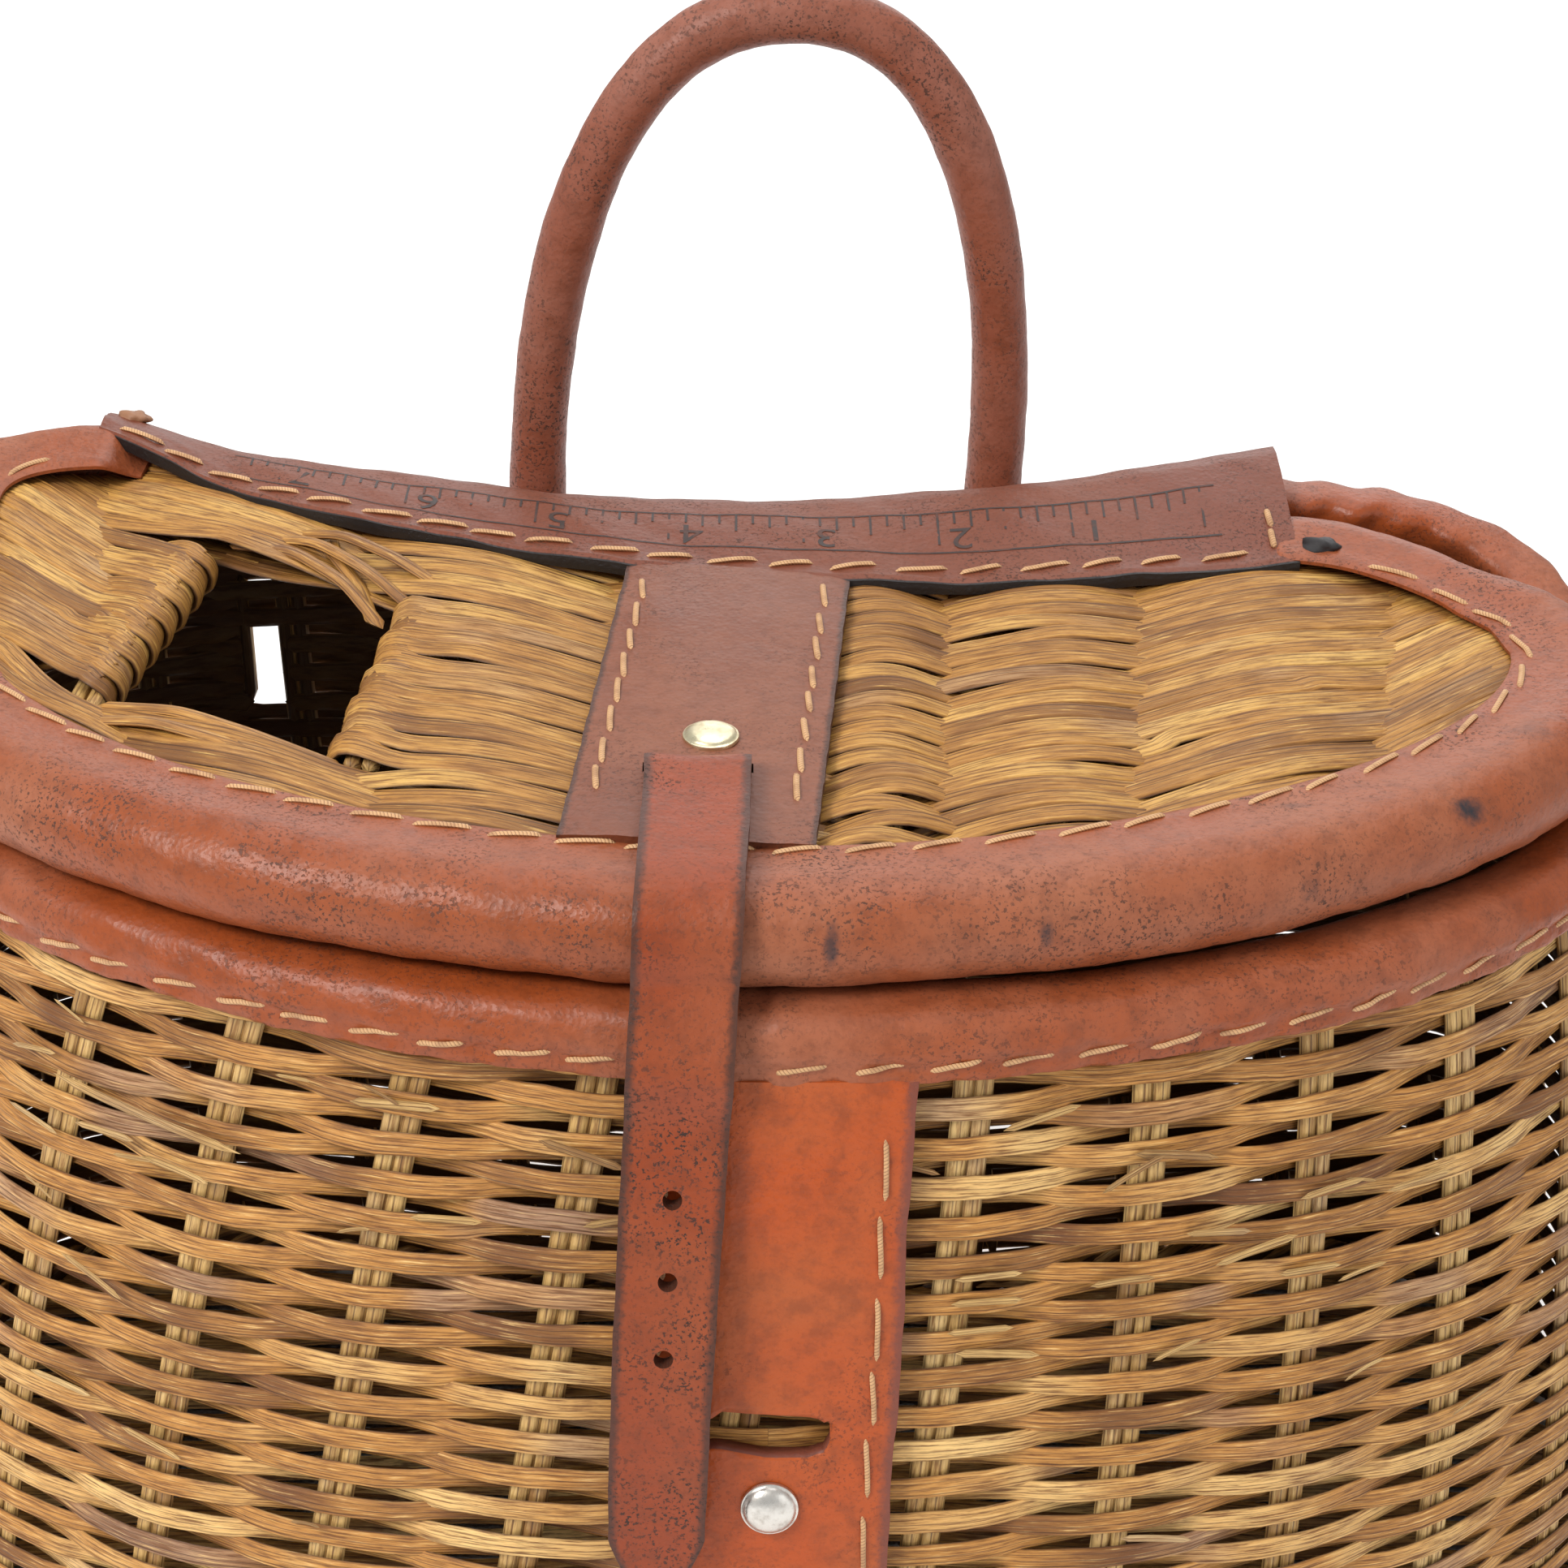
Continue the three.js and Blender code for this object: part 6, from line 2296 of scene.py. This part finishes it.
@dataclass
class CapRivets(Part):
    """The domed caps on the panel, the band and the handle's tabs."""

    radius: float = 4.75
    skirt: float = 0.7
    steps: int = 9
    sides: int = 40
    sink: float = 0.0006

    def cap(self, name: str, node: str, seat: Matrix, dome: float, slot: Slot,
            material: bpy.types.Material) -> None:
        """Makes one cap.

        Args:
            name: the object's name.
            node: the node that it stands for.
            seat: puts +Z on the leather's outward direction.
            dome: the height of its dome in millimetres.
            slot: its material slot; not used.
            material: its material.
        """
        bm = bmesh.new()
        radius = self.radius
        profile = [(radius, 0.0), (radius, 0.45), (radius * 0.985, 0.62), (radius * 0.93, self.skirt)]
        for step in range(1, self.steps):
            angle = math.pi / 2 * step / self.steps
            profile.append((radius * 0.9 * math.cos(angle), self.skirt + dome * math.sin(angle)))
        verts = [bm.verts.new(Vector((x, 0.0, z)) * MM) for x, z in profile]
        verts.append(bm.verts.new(Vector((0.0, 0.0, self.skirt + dome)) * MM))
        edges = [bm.edges.new(pair) for pair in zip(verts, verts[1:])]
        bmesh.ops.spin(bm, geom=verts + edges, cent=(0, 0, 0), axis=(0, 0, 1),
                       angle=2 * math.pi, steps=self.sides, use_merge=True, use_duplicate=False)
        bmesh.ops.remove_doubles(bm, verts=bm.verts, dist=1e-6)
        bmesh.ops.holes_fill(bm, edges=bm.edges, sides=0)
        bmesh.ops.recalc_face_normals(bm, faces=bm.faces)
        bmesh.ops.transform(bm, matrix=seat, verts=bm.verts)
        mount(MeshKit.solid(name, bm, 50.0), material, node)

    def build(self) -> None:
        """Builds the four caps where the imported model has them."""
        low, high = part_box("front_stud")
        seat = Matrix.Translation((low + high) / 2 + Vector((0, self.sink, 0)))
        tilt = Matrix.Rotation(math.radians(90 - 10), 4, "X")
        self.cap("panel_stud", "front_stud", seat @ tilt, 1.9, Slot.NICKEL, self.palette.nickel)
        low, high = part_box("lid_rivet")
        middle = Vector(((low.x + high.x) / 2, (low.y + high.y) / 2, low.z + self.sink))
        self.cap("band_rivet", "lid_rivet", Matrix.Translation(middle), 1.1, Slot.BRASS,
                 self.palette.brass)
        for side, node in ((-1, "handle_rivet_left"), (1, "handle_rivet_right")):
            low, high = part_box(node)
            centre = (low + high) / 2
            x, z = centre.x / MM, centre.z / MM
            slope = (self.shape.back_face(x + 10, z) - self.shape.back_face(x - 10, z)) / 20
            turn = Matrix.Rotation(math.atan(slope), 4, "Z") @ Matrix.Rotation(-math.pi / 2, 4, "X")
            seat = Matrix.Translation(centre + Vector((0, -self.sink, 0))) @ turn
            self.cap(f"tab_rivet_{'left' if side < 0 else 'right'}", node, seat, 1.5, Slot.NICKEL,
                     self.palette.nickel)


@dataclass
class Studio:
    """The pale floor, the soft lights and the camera."""

    shape: CreelShape
    focal: float = 71.78
    sensor: float = 36.0
    stand: tuple[float, float, float] = (-3.95, -492.89, 258.2)
    aim: tuple[float, float, float] = (0.0, 0.0, 0.17)

    def floor(self) -> None:
        """Lays the floor."""
        bm = bmesh.new()
        bmesh.ops.create_grid(bm, x_segments=1, y_segments=1, size=6.0)
        floor = MeshKit.solid("floor", bm)
        material = bpy.data.materials.new("floor_paper")
        material.use_nodes = True
        tree = Tree(material.node_tree)
        shader = material.node_tree.nodes["Principled BSDF"]
        at = tree.add("TexCoord").outputs["Object"]
        paper = tree.noise(at, 3.0, 2.0)
        tree.put(shader.inputs["Base Color"], tree.mix(paper, (0.94, 0.94, 0.94), (0.97, 0.97, 0.97)))
        shader.inputs["Roughness"].default_value = 0.9
        floor.data.materials.append(material)

    def light(self, name: str, place: Sequence[float], size: float, power: float,
              colour: Colour) -> None:
        """Hangs a square soft light that faces the creel.

        Args:
            name: its name.
            place: where it hangs, in metres.
            size: its side.
            power: its strength in watts.
            colour: its tint.
        """
        lamp = bpy.data.lights.new(name, "AREA")
        lamp.size = size
        lamp.energy = power
        lamp.color = colour
        thing = MeshKit.linked(name, lamp)
        thing.location = place
        aim = Vector(self.aim) - Vector(place)
        thing.rotation_euler = aim.to_track_quat("-Z", "Y").to_euler()

    def camera(self) -> None:
        """Sets up the camera at the photograph's angle."""
        lens = bpy.data.cameras.new("camera")
        lens.lens = self.focal
        lens.sensor_width = self.sensor
        lens.clip_start, lens.clip_end = 0.01, 50.0
        thing = MeshKit.linked("camera", lens)
        right = Vector((0.9998, -0.0097, 0.0183))
        up = Vector((-0.0110, 0.5017, 0.8650))
        back = -Vector((0.0175, 0.8650, -0.5015))
        turn = Matrix((right, up, back)).transposed().to_4x4()
        place = (Vector(self.stand) + Vector(self.shape.lid_origin)) * MM
        thing.matrix_world = Matrix.Translation(place) @ turn
        bpy.context.scene.camera = thing

    def build(self) -> None:
        """Builds the studio."""
        self.floor()
        for name, place, size, power, colour in (
            ("key", (-0.9, -0.75, 1.35), 0.6, 20.0, (1.0, 0.985, 0.96)),
            ("fill", (1.3, -1.1, 0.8), 1.4, 5.0, (1.0, 1.0, 1.0)),
            ("top", (0.1, 0.5, 1.6), 1.2, 10.0, (1.0, 1.0, 1.0)),
            ("back", (0.2, 1.6, 0.9), 1.4, 8.0, (1.0, 1.0, 1.0)),
        ):
            self.light(name, place, size, power, colour)
        world = bpy.data.worlds.new("room")
        world.use_nodes = True
        world.node_tree.nodes["Background"].inputs[0].default_value = (1.0, 1.0, 1.0, 1.0)
        world.node_tree.nodes["Background"].inputs[1].default_value = 0.55
        bpy.context.scene.world = world
        bpy.context.scene.view_settings.view_transform = "Standard"
        self.camera()


def corners(box: tuple[Vector, Vector]) -> list[list[float]]:
    """A box as plain lists of numbers."""
    return [[float(value) for value in corner] for corner in box]


def main() -> None:
    """Builds every part of the creel and reports each piece."""
    logging.basicConfig(level=logging.INFO, format="%(name)s: %(message)s")
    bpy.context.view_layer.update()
    shape = CreelShape()
    palette = Palette(shape)
    for part in (BasketBody, Binding, LidWeave, LidRim, HingeStrip, LidBand, FrontPanel,
                 ClosingStrap, CarryHandle, CapRivets):
        part(shape, palette).build()
    Studio(shape).build()


if __name__ == "__main__":
    main()
